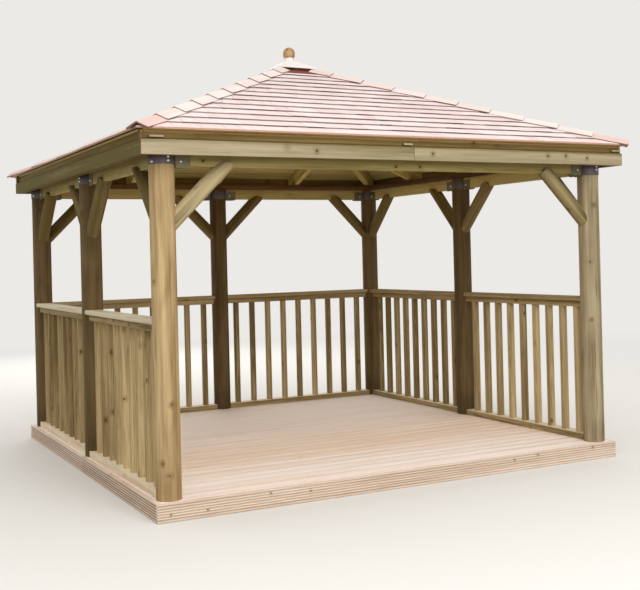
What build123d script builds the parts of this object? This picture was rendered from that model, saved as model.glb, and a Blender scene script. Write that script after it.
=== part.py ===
"""Square garden gazebo: round-log posts on a low deck, slatted railings on three sides
and a cedar-shingled pyramid roof with a metal cap and a ball finial.
Millimetres. The origin is the centre of the base at ground level, +Z is up, and the
open front faces -Y."""
import math
import os

from build123d import *

# Base and deck
base_width = 3600.0
base_depth = 3540.0
base_height = 115.0
skirt_thickness = 28.0
skirt_groove_count = 6
skirt_groove_width = 6.0
skirt_groove_depth = 3.0
deck_thickness = 28.0
deck_board_pitch = 124.0
deck_board_gap = 4.0
deck_gap_depth = 10.0
joist_width = 45.0
joist_count = 10

# Posts, beams and steel brackets
post_diameter = 158.0
post_setback = 112.0
beam_clearance = 2020.0
beam_depth = 95.0
beam_thickness = 45.0
plate_thickness = 45.0
plate_width = 95.0
bracket_steel = 4.0
bracket_drop = 10.0
collar_lift = 10.0
bracket_height = 84.0
shoe_length = 95.0
shoe_corner_radius = 12.0

# Braces
brace_diameter = 101.0
brace_angle = 45.0
brace_foot_drop = 321.0
brace_lap = 31.0
brace_tip_reach = 59.0
brace_tip_flat = 71.0
brace_tip_slope = 66.0
brace_tip_radius = 35.0

# Railings
handrail_height = 1092.0
handrail_thickness = 35.0
handrail_inner = 46.0
handrail_outer = 70.0
handrail_edge_radius = 8.0
subrail_height = 45.0
subrail_inner = 25.0
subrail_outer = 45.0
bottom_rail_height = 46.0
bottom_rail_inner = 42.0
bottom_rail_outer = 62.0
slat_size = 45.0
slat_offset = 10.0
slat_count = 9
slat_tenon = 4.0

# Roof
eave_overhang_side = 108.0
eave_overhang_front = 107.0
eave_above_plate = 74.7
roof_rise = 794.0
shingle_exposure = 121.0
shingle_top_run = 240.0
shingle_build = 24.0
shingle_step = 10.0
shingle_eave_butt = 12.0
shingle_overhang = 59.0
roof_board_thickness = 17.0
rafter_depth = 131.0
rafter_width = 45.0
jack_rafter_share = 0.5
hip_rafter_width = 60.0
king_block_size = 150.0
king_block_height = 230.0
rim_thickness = 36.0
fascia_thickness = 20.0
fascia_drop = 160.0
fascia_height = 102.0
fascia_joint_x = 22.0
hip_cap_exposure = 255.0
hip_cap_width = 84.0
hip_cap_fall = 21.0
hip_cap_butt = 28.0
hip_cap_head = 17.0
hip_cap_thickness = 12.0
hip_cap_start = 60.0

# Roof cap and finial
cap_half_width = 165.0
cap_rise = 96.0
cap_sheet = 2.5
cap_lip = 7.0
neck_diameter = 76.0
neck_height = 26.0
ball_diameter = 98.0
ball_centre = 38.0
ball_foot_radius = 41.0
ball_foot_bulge = 2.6

# Clearances
seat_gap = 0.3
side_gap = 0.5

# How far the cutting wedges reach past the eaves, as a share of the run
beyond_eave = 1.2

# Derived places
post_radius = post_diameter / 2
post_x = base_width / 2 - post_setback
post_y = base_depth / 2 - post_setback
beam_bottom = base_height + beam_clearance
beam_top = beam_bottom + beam_depth
plate_top = beam_top + seat_gap + plate_thickness
bracket_radius = post_radius + seat_gap + bracket_steel
handrail_top = base_height + handrail_height
handrail_bottom = handrail_top - handrail_thickness
subrail_top = handrail_bottom - seat_gap
subrail_bottom = subrail_top - subrail_height
bottom_rail_top = base_height + seat_gap + bottom_rail_height
eave_half_width = base_width / 2 + eave_overhang_side
eave_half_depth = base_depth / 2 + eave_overhang_front
eave_height = plate_top + eave_above_plate
fascia_bottom = eave_height - fascia_drop
rim_half_width = eave_half_width - shingle_overhang
rim_half_depth = eave_half_depth - shingle_overhang
shingle_apex = eave_height + roof_rise
sky = 2 * shingle_apex
hip_run = math.hypot(eave_half_width, eave_half_depth)
cap_half_depth = cap_half_width * eave_half_depth / eave_half_width
cap_slope = cap_rise / cap_half_width
board_top_drop = shingle_build
board_bottom_drop = board_top_drop + roof_board_thickness
rafter_top_drop = board_bottom_drop + seat_gap

POSTS = {
    "front_left": (-post_x, -post_y),
    "mid_left": (-post_x, 0.0),
    "back_left": (-post_x, post_y),
    "mid_back": (0.0, post_y),
    "back_right": (post_x, post_y),
    "mid_right": (post_x, 0.0),
    "front_right": (post_x, -post_y),
}
RAIL_BAYS = {
    "left_front": ("front_left", "mid_left"),
    "left_back": ("mid_left", "back_left"),
    "back_left": ("back_left", "mid_back"),
    "back_right": ("mid_back", "back_right"),
    "right_back": ("back_right", "mid_right"),
    "right_front": ("mid_right", "front_right"),
}
FRONT_BAY = ("front_right", "front_left")
# Each roof side: outward direction, half run to the eave and half length of the eave
SIDES = {
    "front": ((0, -1), eave_half_depth, eave_half_width),
    "right": ((1, 0), eave_half_width, eave_half_depth),
    "back": ((0, 1), eave_half_depth, eave_half_width),
    "left": ((-1, 0), eave_half_width, eave_half_depth),
}


def block(x0, x1, y0, y1, z0, z1):
    """A plain timber between two corners."""
    return Pos(x0, y0, z0) * Box(x1 - x0, y1 - y0, z1 - z0, align=(Align.MIN, Align.MIN, Align.MIN))


def bay_plane(start, end):
    """A frame at the first post's foot: X runs to the second post and Y points outwards."""
    x0, y0 = POSTS[start]
    x1, y1 = POSTS[end]
    along = Vector(x1 - x0, y1 - y0, 0)
    return Plane(origin=(x0, y0, 0), x_dir=along, z_dir=(0, 0, 1)), along.length


def post_hole(x, y, radius):
    """The round cut that scribes a piece to a post."""
    return Pos(x, y, 0) * Cylinder(radius, sky, align=(Align.CENTER, Align.CENTER, Align.MIN))


def scribe(piece, start, end, radius=post_radius + seat_gap):
    """Fits the ends of a piece to its two posts."""
    for name in (start, end):
        piece -= post_hole(*POSTS[name], radius)
    return piece


def outline_prism(points, plane, half_length):
    """A closed outline drawn on a plane and carried both ways along the plane's normal."""
    face = make_face(Polyline(*points, close=True))
    return extrude(plane * face, amount=half_length, both=True)


def rounded_bar(inner, outer, z0, z1, length, radius):
    """A bar along X with eased long edges, from Y = -inner to Y = outer."""
    section = RectangleRounded(outer + inner, z1 - z0, radius)
    plane = Plane(origin=(0, (outer - inner) / 2, (z0 + z1) / 2), x_dir=(0, 1, 0), z_dir=(1, 0, 0))
    return extrude(plane * section, amount=length)


def floor_frame():
    """Two bearers under the front and back edges with the joists between them."""
    half_x = base_width / 2 - skirt_thickness - seat_gap
    half_y = base_depth / 2 - skirt_thickness - seat_gap
    top = base_height - deck_thickness - seat_gap
    frame = block(-half_x, half_x, -half_y, -half_y + joist_width, 0, top)
    frame += block(-half_x, half_x, half_y - joist_width, half_y, 0, top)
    pitch = (2 * half_x - joist_width) / (joist_count - 1)
    for index in range(joist_count):
        x = -half_x + index * pitch
        frame += block(x, x + joist_width, -half_y + joist_width, half_y - joist_width, 0, top)
    return frame


def deck():
    """The deck boards, side by side along X, drawn as one ribbed profile."""
    half_x = base_width / 2 - skirt_thickness - seat_gap
    half_y = base_depth / 2 - skirt_thickness - seat_gap
    slab = block(-half_x, half_x, -half_y, half_y, base_height - deck_thickness, base_height)
    count = int(2 * half_y / deck_board_pitch)
    first = -half_y + (2 * half_y - (count - 1) * deck_board_pitch) / 2
    for index in range(count):
        y = first + index * deck_board_pitch
        slab -= block(-half_x, half_x, y, y + deck_board_gap, base_height - deck_gap_depth, base_height)
    return slab


def skirt_board(length):
    """A grooved decking board on edge: X along the board, grooves on the -Y face."""
    board = block(-length / 2, length / 2, 0, skirt_thickness, 0, base_height)
    pitch = base_height / (skirt_groove_count + 1)
    for index in range(skirt_groove_count):
        z = (index + 1) * pitch
        board -= block(-length / 2, length / 2, 0, skirt_groove_depth,
                       z - skirt_groove_width / 2, z + skirt_groove_width / 2)
    return board


def skirts():
    """Front and back boards over the full width, with the side boards between them."""
    side_length = base_depth - 2 * skirt_thickness - 2 * seat_gap
    front = Pos(0, -base_depth / 2, 0) * skirt_board(base_width)
    left = Pos(-base_width / 2, 0, 0) * Rot(0, 0, -90) * skirt_board(side_length)
    return {
        "front_skirt": front,
        "back_skirt": Rot(0, 0, 180) * front,
        "left_skirt": left,
        "right_skirt": Rot(0, 0, 180) * left,
    }


def post(x, y):
    """A round log standing on the deck, up to the top plate."""
    height = beam_top - base_height - seat_gap
    return Pos(x, y, base_height + seat_gap) * Cylinder(
        post_radius, height, align=(Align.CENTER, Align.CENTER, Align.MIN))


def beam(start, end):
    """A beam between the steel brackets of two posts."""
    plane, length = bay_plane(start, end)
    timber = block(0, length, -beam_thickness / 2, beam_thickness / 2, beam_bottom, beam_top)
    return scribe(plane * timber, start, end, bracket_radius + seat_gap)


def top_plate():
    """Flat timbers over the beams and post heads, the side ones between the long ones."""
    half = plate_width / 2
    z0 = beam_top + seat_gap
    plates = []
    for sign in (-1, 1):
        y = sign * post_y
        plates.append(block(-post_x - half, post_x + half, y - half, y + half, z0, plate_top))
        x = sign * post_x
        inner = post_y - half - side_gap
        plates.append(block(x - half, x + half, -inner, inner, z0, plate_top))
    return Compound(children=plates)


def shoe(direction):
    """A sheet-steel tray that holds one beam end, pointing away from the post."""
    half = beam_thickness / 2 + seat_gap
    z0 = beam_bottom - bracket_drop
    z1 = z0 + bracket_height
    reach = bracket_radius + shoe_length
    outer = block(0, reach, -half - bracket_steel, half + bracket_steel, z0, z1)
    end_edges = outer.edges().filter_by(Axis.Y).group_by(Axis.X)[-1].sort_by(Axis.Z)
    outer = fillet(end_edges[0], shoe_corner_radius)
    inner = block(0, reach, -half, half, beam_bottom - seat_gap, z1)
    hollow = block(0, reach, -half, half, z0, beam_bottom - seat_gap - bracket_steel)
    return Rot(0, 0, direction) * (outer - inner - hollow)


def bracket(name):
    """The steel collar round a post head with a shoe for each beam that it carries."""
    x, y = POSTS[name]
    z0 = beam_bottom - bracket_drop
    collar = Pos(0, 0, z0 + collar_lift) * Cylinder(
        bracket_radius, bracket_height - collar_lift, align=(Align.CENTER, Align.CENTER, Align.MIN))
    for start, end in [*RAIL_BAYS.values(), FRONT_BAY]:
        if name in (start, end):
            other = POSTS[end] if name == start else POSTS[start]
            collar += shoe(math.degrees(math.atan2(other[1] - y, other[0] - x)))
    collar -= Cylinder(post_radius + seat_gap, 3 * beam_top)
    return Pos(x, y, 0) * collar


def brace_outline():
    """Side view of what is left of a brace: below the beam, plus a tongue with a rounded tip."""
    reach = post_radius + brace_foot_drop / math.tan(math.radians(brace_angle)) + brace_tip_reach
    top = beam_bottom + brace_lap
    flat = reach - brace_tip_flat
    points = [(0, 0), (reach, 0), (reach, top), (flat, top), (flat - brace_tip_slope, beam_bottom), (0, beam_bottom)]
    outline = make_face(Polyline(*points, close=True))
    tip = outline.vertices().sort_by(Axis.Y).sort_by(lambda corner: corner.X + corner.Y)[-1]
    return Plane.XZ * fillet(tip, brace_tip_radius)


def brace(start, end):
    """A log brace rising from the first post, with its tongue lapped over the beam."""
    plane, length = bay_plane(start, end)
    angle = math.radians(brace_angle)
    rise = Vector(math.cos(angle), 0, math.sin(angle))
    low = Vector(post_radius, 0, beam_bottom - brace_foot_drop) - rise * brace_diameter
    axis_plane = Plane(origin=low, x_dir=(0, 1, 0), z_dir=rise)
    log_length = brace_foot_drop / math.sin(angle) + 3 * brace_diameter
    log = extrude(axis_plane * Circle(brace_diameter / 2), amount=log_length)
    log &= extrude(brace_outline(), amount=brace_diameter, both=True)
    half = beam_thickness / 2 + seat_gap
    log -= block(0, length, -half, half, beam_bottom - seat_gap, beam_top)
    return (plane * log) - post_hole(*POSTS[start], post_radius + seat_gap)


def handrail(start, end):
    """The wide top board of a railing, scribed round the posts."""
    plane, length = bay_plane(start, end)
    bar = rounded_bar(handrail_inner, handrail_outer, handrail_bottom, handrail_top, length,
                      handrail_edge_radius)
    return scribe(plane * bar, start, end)


def railing_panel(start, end):
    """Sub-rail, bottom rail and the row of square slats between them."""
    plane, length = bay_plane(start, end)
    panel = block(0, length, -subrail_inner, subrail_outer, subrail_bottom, subrail_top)
    panel += block(0, length, -bottom_rail_inner, bottom_rail_outer, base_height + seat_gap, bottom_rail_top)
    for index in range(slat_count):
        x = length * (index + 1) / (slat_count + 1)
        panel += block(x - slat_size / 2, x + slat_size / 2,
                       slat_offset - slat_size / 2, slat_offset + slat_size / 2,
                       bottom_rail_top - slat_tenon, subrail_bottom + slat_tenon)
    return scribe(plane * panel, start, end)


def roof_line(run, half_run, drop=0.0):
    """Height of the shingle butts at a distance from the centre, less a drop."""
    return shingle_apex - roof_rise * run / half_run - drop


def side_plane(side):
    """A frame for a roof side: X runs outwards, Y is up and Z lies along the eave."""
    (dx, dy), half_run, half_eave = SIDES[side]
    outward = Vector(dx, dy, 0)
    return Plane(origin=(0, 0, 0), x_dir=outward, z_dir=outward.cross(Vector(0, 0, 1)))


def mitre(side, gap):
    """The upright wedge between two hips that bounds one side of the roof."""
    (dx, dy), half_run, half_eave = SIDES[side]
    far_run = gap + beyond_eave * half_run
    far_half = beyond_eave * half_eave
    face = make_face(Polyline((gap, 0), (far_run, far_half), (far_run, -far_half), close=True))
    turn = math.degrees(math.atan2(dy, dx))
    return Rot(0, 0, turn) * extrude(face, amount=sky)


def roof_layer(side, points):
    """One side of a roof layer: an outline of run and height, mitred at both hips."""
    half_eave = SIDES[side][2]
    return outline_prism(points, side_plane(side), beyond_eave * half_eave) & mitre(side, side_gap)


def shingles(side):
    """Overlapping courses: each rises to its butt and steps down to the course below."""
    half_run = SIDES[side][1]
    share = half_run / eave_half_depth
    pitch = shingle_exposure * share
    top_run = shingle_top_run * share
    board_run = half_run - shingle_overhang
    points = [(half_run, roof_line(half_run, half_run, shingle_eave_butt))]
    run = half_run
    while run > top_run:
        next_run = max(run - pitch, top_run)
        points.append((run, roof_line(run, half_run)))
        points.append((next_run, roof_line(next_run, half_run, shingle_step * (run - next_run) / pitch)))
        run = next_run
    points.append((top_run, roof_line(top_run, half_run, shingle_build - seat_gap)))
    points.append((board_run, roof_line(board_run, half_run, shingle_build - seat_gap)))
    return roof_layer(side, points)


def roof_boards():
    """The boarded ceiling, one panel for each side."""
    panels = []
    for side, (direction, half_run, half_eave) in SIDES.items():
        outer = half_run - shingle_overhang
        inner = king_block_size / 2 + side_gap
        points = [
            (outer, roof_line(outer, half_run, board_top_drop)),
            (inner, roof_line(inner, half_run, board_top_drop)),
            (inner, roof_line(inner, half_run, board_bottom_drop)),
            (outer, roof_line(outer, half_run, board_bottom_drop)),
        ]
        panels.append(roof_layer(side, points))
    return Compound(children=panels)


def plate_notch():
    """The space of the top plate, cut from the rafters that sit on it."""
    half = plate_width / 2 + seat_gap
    z0 = beam_bottom
    z1 = plate_top + seat_gap
    ring = block(-post_x - half, post_x + half, -post_y - half, post_y + half, z0, z1)
    return ring - block(-post_x + half, post_x - half, -post_y + half, post_y - half, z0, z1)


def rafter(side, offset):
    """A rafter square to the eave, from the rim board to the king block or the hip."""
    half_run, half_eave = SIDES[side][1:]
    outer = half_run - shingle_overhang - rim_thickness - seat_gap
    inner = king_block_size / 2 + side_gap
    if offset != 0:
        hip_half = (hip_rafter_width / 2 + side_gap) * hip_run / half_eave
        inner = (abs(offset) + rafter_width / 2) * half_run / half_eave + hip_half
    top = rafter_top_drop
    bottom = rafter_top_drop + rafter_depth
    points = [
        (outer, roof_line(outer, half_run, top)),
        (inner, roof_line(inner, half_run, top)),
        (inner, roof_line(inner, half_run, bottom)),
        (outer, roof_line(outer, half_run, bottom)),
    ]
    plane = side_plane(side)
    plane = Plane(origin=plane.z_dir * offset, x_dir=plane.x_dir, z_dir=plane.z_dir)
    return outline_prism(points, plane, rafter_width / 2) - plate_notch()


def rafters():
    """Three rafters on each side of the roof."""
    pieces = []
    for side in SIDES:
        span = post_x if side in ("front", "back") else post_y
        for share in (-jack_rafter_share, 0, jack_rafter_share):
            pieces.append(rafter(side, share * span))
    return Compound(children=pieces)


def above_roof(side, drop):
    """Everything above one roof plane, used to bevel what lies under the boards."""
    half_run, half_eave = SIDES[side][1:]
    far = beyond_eave * half_run
    points = [
        (-far, sky),
        (-far, roof_line(-far, half_run, drop)),
        (far, roof_line(far, half_run, drop)),
        (far, sky),
    ]
    return outline_prism(points, side_plane(side), beyond_eave * half_eave)


def hip_plane(sign_x, sign_y):
    """The upright frame of one hip: X runs outwards along the hip's plan and Y is up."""
    direction = Vector(sign_x * eave_half_width, sign_y * eave_half_depth, 0)
    return Plane(origin=(0, 0, 0), x_dir=direction, z_dir=direction.cross(Vector(0, 0, 1)))


def hip_rafter(sign_x, sign_y):
    """A hip rafter from the rim corner to the king block, bevelled to both slopes."""
    rim_x = rim_half_width - rim_thickness - side_gap
    rim_y = rim_half_depth - rim_thickness - side_gap
    inner = king_block_size / 2
    points = [
        (hip_run, roof_line(hip_run, hip_run)),
        (inner, roof_line(inner, hip_run)),
        (inner, roof_line(inner, hip_run, rafter_top_drop + rafter_depth)),
        (hip_run, roof_line(hip_run, hip_run, rafter_top_drop + rafter_depth)),
    ]
    timber = outline_prism(points, hip_plane(sign_x, sign_y), hip_rafter_width / 2)
    timber -= above_roof("right" if sign_x > 0 else "left", rafter_top_drop)
    timber -= above_roof("back" if sign_y > 0 else "front", rafter_top_drop)
    timber &= block(-rim_x, rim_x, -rim_y, rim_y, 0, sky)
    block_half = king_block_size / 2 + side_gap
    timber -= block(-block_half, block_half, -block_half, block_half, 0, sky)
    return timber - plate_notch()


def hip_rafters():
    """The four hip rafters round the square king block."""
    half = king_block_size / 2
    top = roof_line(half, eave_half_width, shingle_build + seat_gap)
    king = block(-half, half, -half, half, top - king_block_height, top)
    pieces = [king]
    for sign_x in (-1, 1):
        for sign_y in (-1, 1):
            pieces.append(hip_rafter(sign_x, sign_y))
    return Compound(children=pieces)


def rim_boards():
    """The edge boards of the roof frame, their tops bevelled under the roof boards. The front
    and back ones have ears that pass over the ends of the side fascias."""
    drop = board_bottom_drop + seat_gap
    z0 = fascia_bottom + side_gap
    z1 = roof_line(rim_half_depth, eave_half_depth, drop) + rim_thickness
    inner_x = rim_half_width - rim_thickness
    inner_y = rim_half_depth - rim_thickness
    end_y = inner_y - side_gap
    ear_x = rim_half_width + seat_gap + fascia_thickness
    ear_z = fascia_bottom + fascia_height + side_gap
    boards = {
        "front": block(-rim_half_width, rim_half_width, -rim_half_depth, -inner_y, z0, z1)
        + block(-ear_x, ear_x, -rim_half_depth, -inner_y, ear_z, z1),
        "back": block(-rim_half_width, rim_half_width, inner_y, rim_half_depth, z0, z1)
        + block(-ear_x, ear_x, inner_y, rim_half_depth, ear_z, z1),
        "left": block(-rim_half_width, -inner_x, -end_y, end_y, z0, z1),
        "right": block(inner_x, rim_half_width, -end_y, end_y, z0, z1),
    }
    for side in ("front", "back"):
        boards[side] -= above_roof("left", drop)
        boards[side] -= above_roof("right", drop)
    return Compound(children=[board - above_roof(side, drop) for side, board in boards.items()])


def fascias():
    """Pale boards on the rim: front and back in two lengths, sides in one."""
    z0 = fascia_bottom
    z1 = fascia_bottom + fascia_height
    x1 = rim_half_width + seat_gap + fascia_thickness
    y0 = rim_half_depth + seat_gap
    y1 = y0 + fascia_thickness
    front = [
        block(-x1, fascia_joint_x - side_gap, -y1, -y0, z0, z1),
        block(fascia_joint_x + side_gap, x1, -y1, -y0, z0, z1),
    ]
    side = block(-x1, -x1 + fascia_thickness, -y0 + side_gap, y0 - side_gap, z0, z1)
    front = Compound(children=front)
    return {
        "front_fascia": front,
        "back_fascia": Rot(0, 0, 180) * front,
        "left_fascia": side,
        "right_fascia": Rot(0, 0, 180) * side,
    }


def hip_cap_ridge(run):
    """Height of the capping boards' ridge over the hip, at a distance from the centre in plan."""
    past_butt = (hip_run - run) % hip_cap_exposure
    return hip_cap_butt - (hip_cap_butt - hip_cap_head) * past_butt / hip_cap_exposure


def hip_cap_profile(sign_x, sign_y):
    """The capping boards of one hip in its upright plane, overlapping like tiles."""
    under_run = cap_half_width * hip_run / eave_half_width
    under_ridge = hip_cap_ridge(under_run)
    points = []
    run = hip_run
    while run > under_run:
        next_run = max(run - hip_cap_exposure, under_run)
        head = under_ridge if next_run == under_run else hip_cap_head
        points.append((run, roof_line(run, hip_run, -hip_cap_butt)))
        points.append((next_run, roof_line(next_run, hip_run, -head)))
        run = next_run
    points.append((hip_cap_start, roof_line(hip_cap_start, hip_run, -under_ridge)))
    for run in (hip_cap_start, hip_run):
        points.append((run, roof_line(run, hip_run, hip_cap_thickness - hip_cap_head)))
    return hip_plane(sign_x, sign_y) * make_face(Polyline(*points, close=True))


def hip_cap_half(sign_x, sign_y, side):
    """The boards of one hip that lie on one slope, tilted so that their outer edge touches it."""
    dx, dy = SIDES[side][0]
    half_run = SIDES[side][1]
    down = Vector(sign_x * eave_half_width, sign_y * eave_half_depth, -roof_rise).normalized()
    normal = Vector(dx * roof_rise, dy * roof_rise, half_run).normalized()
    across = normal.cross(down)
    if across.Z > 0:
        across = -across
    lean = across * hip_cap_width - normal * hip_cap_fall
    boards = extrude(hip_cap_profile(sign_x, sign_y), amount=lean.length, dir=lean)
    return boards & above_roof(side, -seat_gap)


def hip_cap(sign_x, sign_y):
    """Both halves of one hip capping, joined along the hip and clear of the next hip's."""
    side_a = "right" if sign_x > 0 else "left"
    side_b = "back" if sign_y > 0 else "front"
    capping = hip_cap_half(sign_x, sign_y, side_a) + hip_cap_half(sign_x, sign_y, side_b)
    quarter = block(side_gap, beyond_eave * eave_half_width, side_gap, beyond_eave * eave_half_depth, 0, sky)
    if sign_x < 0:
        quarter = mirror(quarter, about=Plane.YZ)
    if sign_y < 0:
        quarter = mirror(quarter, about=Plane.XZ)
    return capping & quarter


def hip_caps():
    """Capping boards on the four hips."""
    return Compound(children=[hip_cap(sign_x, sign_y) for sign_x in (-1, 1) for sign_y in (-1, 1)])


def cap_edge():
    """Height of the metal cap's folded edge, with the lip below it seated on the capping boards."""
    lip_run = cap_half_width * hip_run / eave_half_width
    seat = roof_line(cap_half_width - cap_sheet, eave_half_width) + hip_cap_ridge(lip_run)
    return seat + seat_gap + cap_lip


def pyramid(half_width, half_depth, apex):
    """A pyramid with level edges and the metal cap's slope."""
    base = Pos(0, 0, apex - half_width * cap_slope) * Rectangle(2 * half_width, 2 * half_depth)
    return loft([base.face(), Vertex(0, 0, apex)])


def neck_foot():
    """Height where the neck's rim meets the slope of the metal cap."""
    return cap_edge() + cap_rise - neck_diameter / 2 * cap_slope


def roof_cap():
    """A folded sheet-metal pyramid with a turned-down lip and a round neck."""
    edge = cap_edge()
    apex = edge + cap_rise
    outer = pyramid(cap_half_width, cap_half_depth, apex)
    outer += block(-cap_half_width, cap_half_width, -cap_half_depth, cap_half_depth, edge - cap_lip, edge)
    inner_width = cap_half_width - cap_sheet
    inner_depth = cap_half_depth - cap_sheet
    inner = pyramid(inner_width, inner_depth, apex - cap_sheet)
    low = apex - cap_sheet - inner_width * cap_slope
    inner += block(-inner_width, inner_width, -inner_depth, inner_depth, edge - 2 * cap_lip, low)
    neck_top = neck_foot() + neck_height
    upright = (Align.CENTER, Align.CENTER, Align.MIN)
    neck = Pos(0, 0, edge) * Cylinder(neck_diameter / 2, neck_top - edge, align=upright)
    neck -= Cylinder(neck_diameter / 2 - cap_sheet, neck_top - cap_sheet, align=upright)
    return outer + neck - inner


def finial():
    """A turned ball that draws in to a flat foot on the neck."""
    foot = neck_foot() + neck_height + seat_gap
    radius = ball_diameter / 2
    belly = (radius + ball_foot_radius) / 2 + ball_foot_bulge
    lower = ThreePointArc((ball_foot_radius, 0), (belly, ball_centre / 2), (radius, ball_centre))
    diagonal = radius * math.sqrt(0.5)
    upper = ThreePointArc((radius, ball_centre), (diagonal, ball_centre + diagonal), (0, ball_centre + radius))
    outline = [Line((0, 0), (ball_foot_radius, 0)), lower, upper, Line((0, ball_centre + radius), (0, 0))]
    section = Plane.XZ * make_face(Curve() + outline)
    return Pos(0, 0, foot) * revolve(section, Axis.Z)


def all_pieces():
    """Every piece by its name."""
    pieces = {"floor_frame": floor_frame(), "deck": deck()}
    pieces.update(skirts())
    for name, (x, y) in POSTS.items():
        pieces[f"{name}_post"] = post(x, y)
    pieces["post_brackets"] = Compound(children=[bracket(name) for name in POSTS])
    bays = {"front": [FRONT_BAY]}
    for bay, ends in RAIL_BAYS.items():
        pieces[f"{bay}_railing"] = railing_panel(*ends)
        bays.setdefault(bay.split("_")[0], []).append(ends)
    for side, ends in bays.items():
        pieces[f"{side}_beam"] = Compound(children=[beam(*pair) for pair in ends])
        braces = []
        for start, end in ends:
            braces += [brace(start, end), brace(end, start)]
        pieces[f"{side}_braces"] = Compound(children=braces)
    pieces["handrails"] = Compound(children=[handrail(*ends) for ends in RAIL_BAYS.values()])
    pieces["top_plate"] = top_plate()
    pieces["rafters"] = rafters()
    pieces["hip_rafters"] = hip_rafters()
    pieces["rim_boards"] = rim_boards()
    pieces.update(fascias())
    pieces["roof_boards"] = roof_boards()
    for side in SIDES:
        pieces[f"{side}_shingles"] = shingles(side)
    pieces["hip_caps"] = hip_caps()
    pieces["roof_cap"] = roof_cap()
    pieces["finial"] = finial()
    return pieces


os.makedirs("parts", exist_ok=True)
for piece_name, piece in all_pieces().items():
    export_step(piece, f"parts/{piece_name}.step")
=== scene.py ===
"""Garden gazebo: boards, logs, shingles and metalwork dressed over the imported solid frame.
Everything is in metres, with the origin under the middle of the deck and +Z up."""
import math

import bmesh
import bpy
import numpy as np
from mathutils import Matrix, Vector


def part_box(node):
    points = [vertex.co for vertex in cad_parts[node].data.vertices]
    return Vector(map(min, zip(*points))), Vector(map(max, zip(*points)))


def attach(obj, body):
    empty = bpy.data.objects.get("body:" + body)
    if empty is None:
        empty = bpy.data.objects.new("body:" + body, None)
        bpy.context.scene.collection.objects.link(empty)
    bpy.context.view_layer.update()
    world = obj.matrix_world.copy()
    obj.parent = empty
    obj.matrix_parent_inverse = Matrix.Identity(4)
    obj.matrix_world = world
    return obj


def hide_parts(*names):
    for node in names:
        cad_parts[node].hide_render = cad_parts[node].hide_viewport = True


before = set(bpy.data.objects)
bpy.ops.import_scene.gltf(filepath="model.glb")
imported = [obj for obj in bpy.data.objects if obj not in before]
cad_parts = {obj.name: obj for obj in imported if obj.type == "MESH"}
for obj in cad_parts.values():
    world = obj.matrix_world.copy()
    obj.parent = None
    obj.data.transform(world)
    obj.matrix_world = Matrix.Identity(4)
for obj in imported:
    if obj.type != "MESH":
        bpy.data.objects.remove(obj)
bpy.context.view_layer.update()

bl_info = {
    "name": "Garden Gazebo",
    "version": (1, 0, 0),
    "blender": (4, 5, 0),
    "location": "3D View > Sidebar > Gazebo",
    "description": "Dresses the solid frame of a garden gazebo with boards, logs and shingles",
    "category": "Add Mesh",
}

# Tones run from 0, pale, to 1, dark. The posts are in their order round the deck.
POST_TONES = {"front_left": 0.6, "mid_left": 0.6, "back_left": 0.7, "mid_back": 0.85, "back_right": 0.7,
              "mid_right": 0.85, "front_right": 0.35}
RAIL_TONES = {"left_front": (0.2, 0.75), "left_back": (0.55, 0.95), "right_front": (0.3, 0.8),
              "right_back": (0.6, 1.0)}
HANDRAIL_TONES = {"left": 0.15, "back": 1.0, "right": 1.2}
BEAM_TONES = {"front": 0.6, "left": 0.5, "back": 0.2, "right": 0.0}
# The left fascia's darker tone is painted shade on that side.
FASCIA_SHADE_TONES = {"left": 1.5}
PLAIN_TONE = 0.37
# The front fascia's left board darkens from its left end, two rings, to its right end: painted shade.
FRONT_LEFT_TONES = np.array([-0.05, -0.05, 0.72, 0.72])[:, None]

POSTS = tuple(POST_TONES)
RAIL_BAYS = dict(zip(("left_front", "left_back", "back_left", "back_right", "right_back", "right_front"),
                     zip(POSTS, POSTS[1:])))
FRONT_BAY = (POSTS[-1], POSTS[0])
PACKERS = ((-1.819, -1.727), (-0.060, 0.011), (1.772, 1.855))
COLLAR_LIFTS = {"front_left": 0.011, "mid_left": 0.004, "front_right": -0.010}
UP = np.array([0.0, 0.0, 1.0])
OUTWARD = {side: np.array(way, float) for side, way in (
    ("front", (0, -1, 0)), ("right", (1, 0, 0)), ("back", (0, 1, 0)), ("left", (-1, 0, 0)))}

# Clearances: under a piece that stands on another, beside one, and in a joint between boards.
SEAT_GAP, SIDE_GAP, JOINT_GAP = 0.0003, 0.0005, 0.0006
# How far from its butt a shingle's second and third ring lie.
CUT_DEPTHS = (0.0015, 0.006)

# Knots that have their own places; all the others come from a pattern.
KNOTS = {
    "post": ((-1.746, -1.712, 0.344), (-1.683, -1.737, 0.695), (-1.706, -1.735, 0.271),
             (1.675, -1.736, 1.899), (1.637, -1.719, 1.471), (1.640, -1.721, 1.035)),
    "fascia": ((0.169, -1.838, 2.237), (1.327, -1.838, 2.250), (1.526, -1.838, 2.239),
               (1.160, -1.838, 2.246), (-0.713, -1.838, 2.235)),
    "beam": ((-1.425, -1.681, 2.172), (-0.029, -1.681, 2.160), (0.165, -1.681, 2.163)),
    "skirt": ((-1.717, -1.770, 0.047), (-1.482, -1.770, 0.044), (-1.061, -1.770, 0.090),
              (-0.781, -1.770, 0.069), (0.847, -1.770, 0.081), (1.055, -1.770, 0.093),
              (1.574, -1.770, 0.094)),
    "slat": ((-1.720, -0.402, 0.906), (-1.720, -0.618, 0.769), (-1.720, -1.359, 0.806),
             (-1.720, -0.902, 1.036), (-1.720, -0.253, 0.415), (-1.720, -1.382, 0.575)),
}

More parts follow.
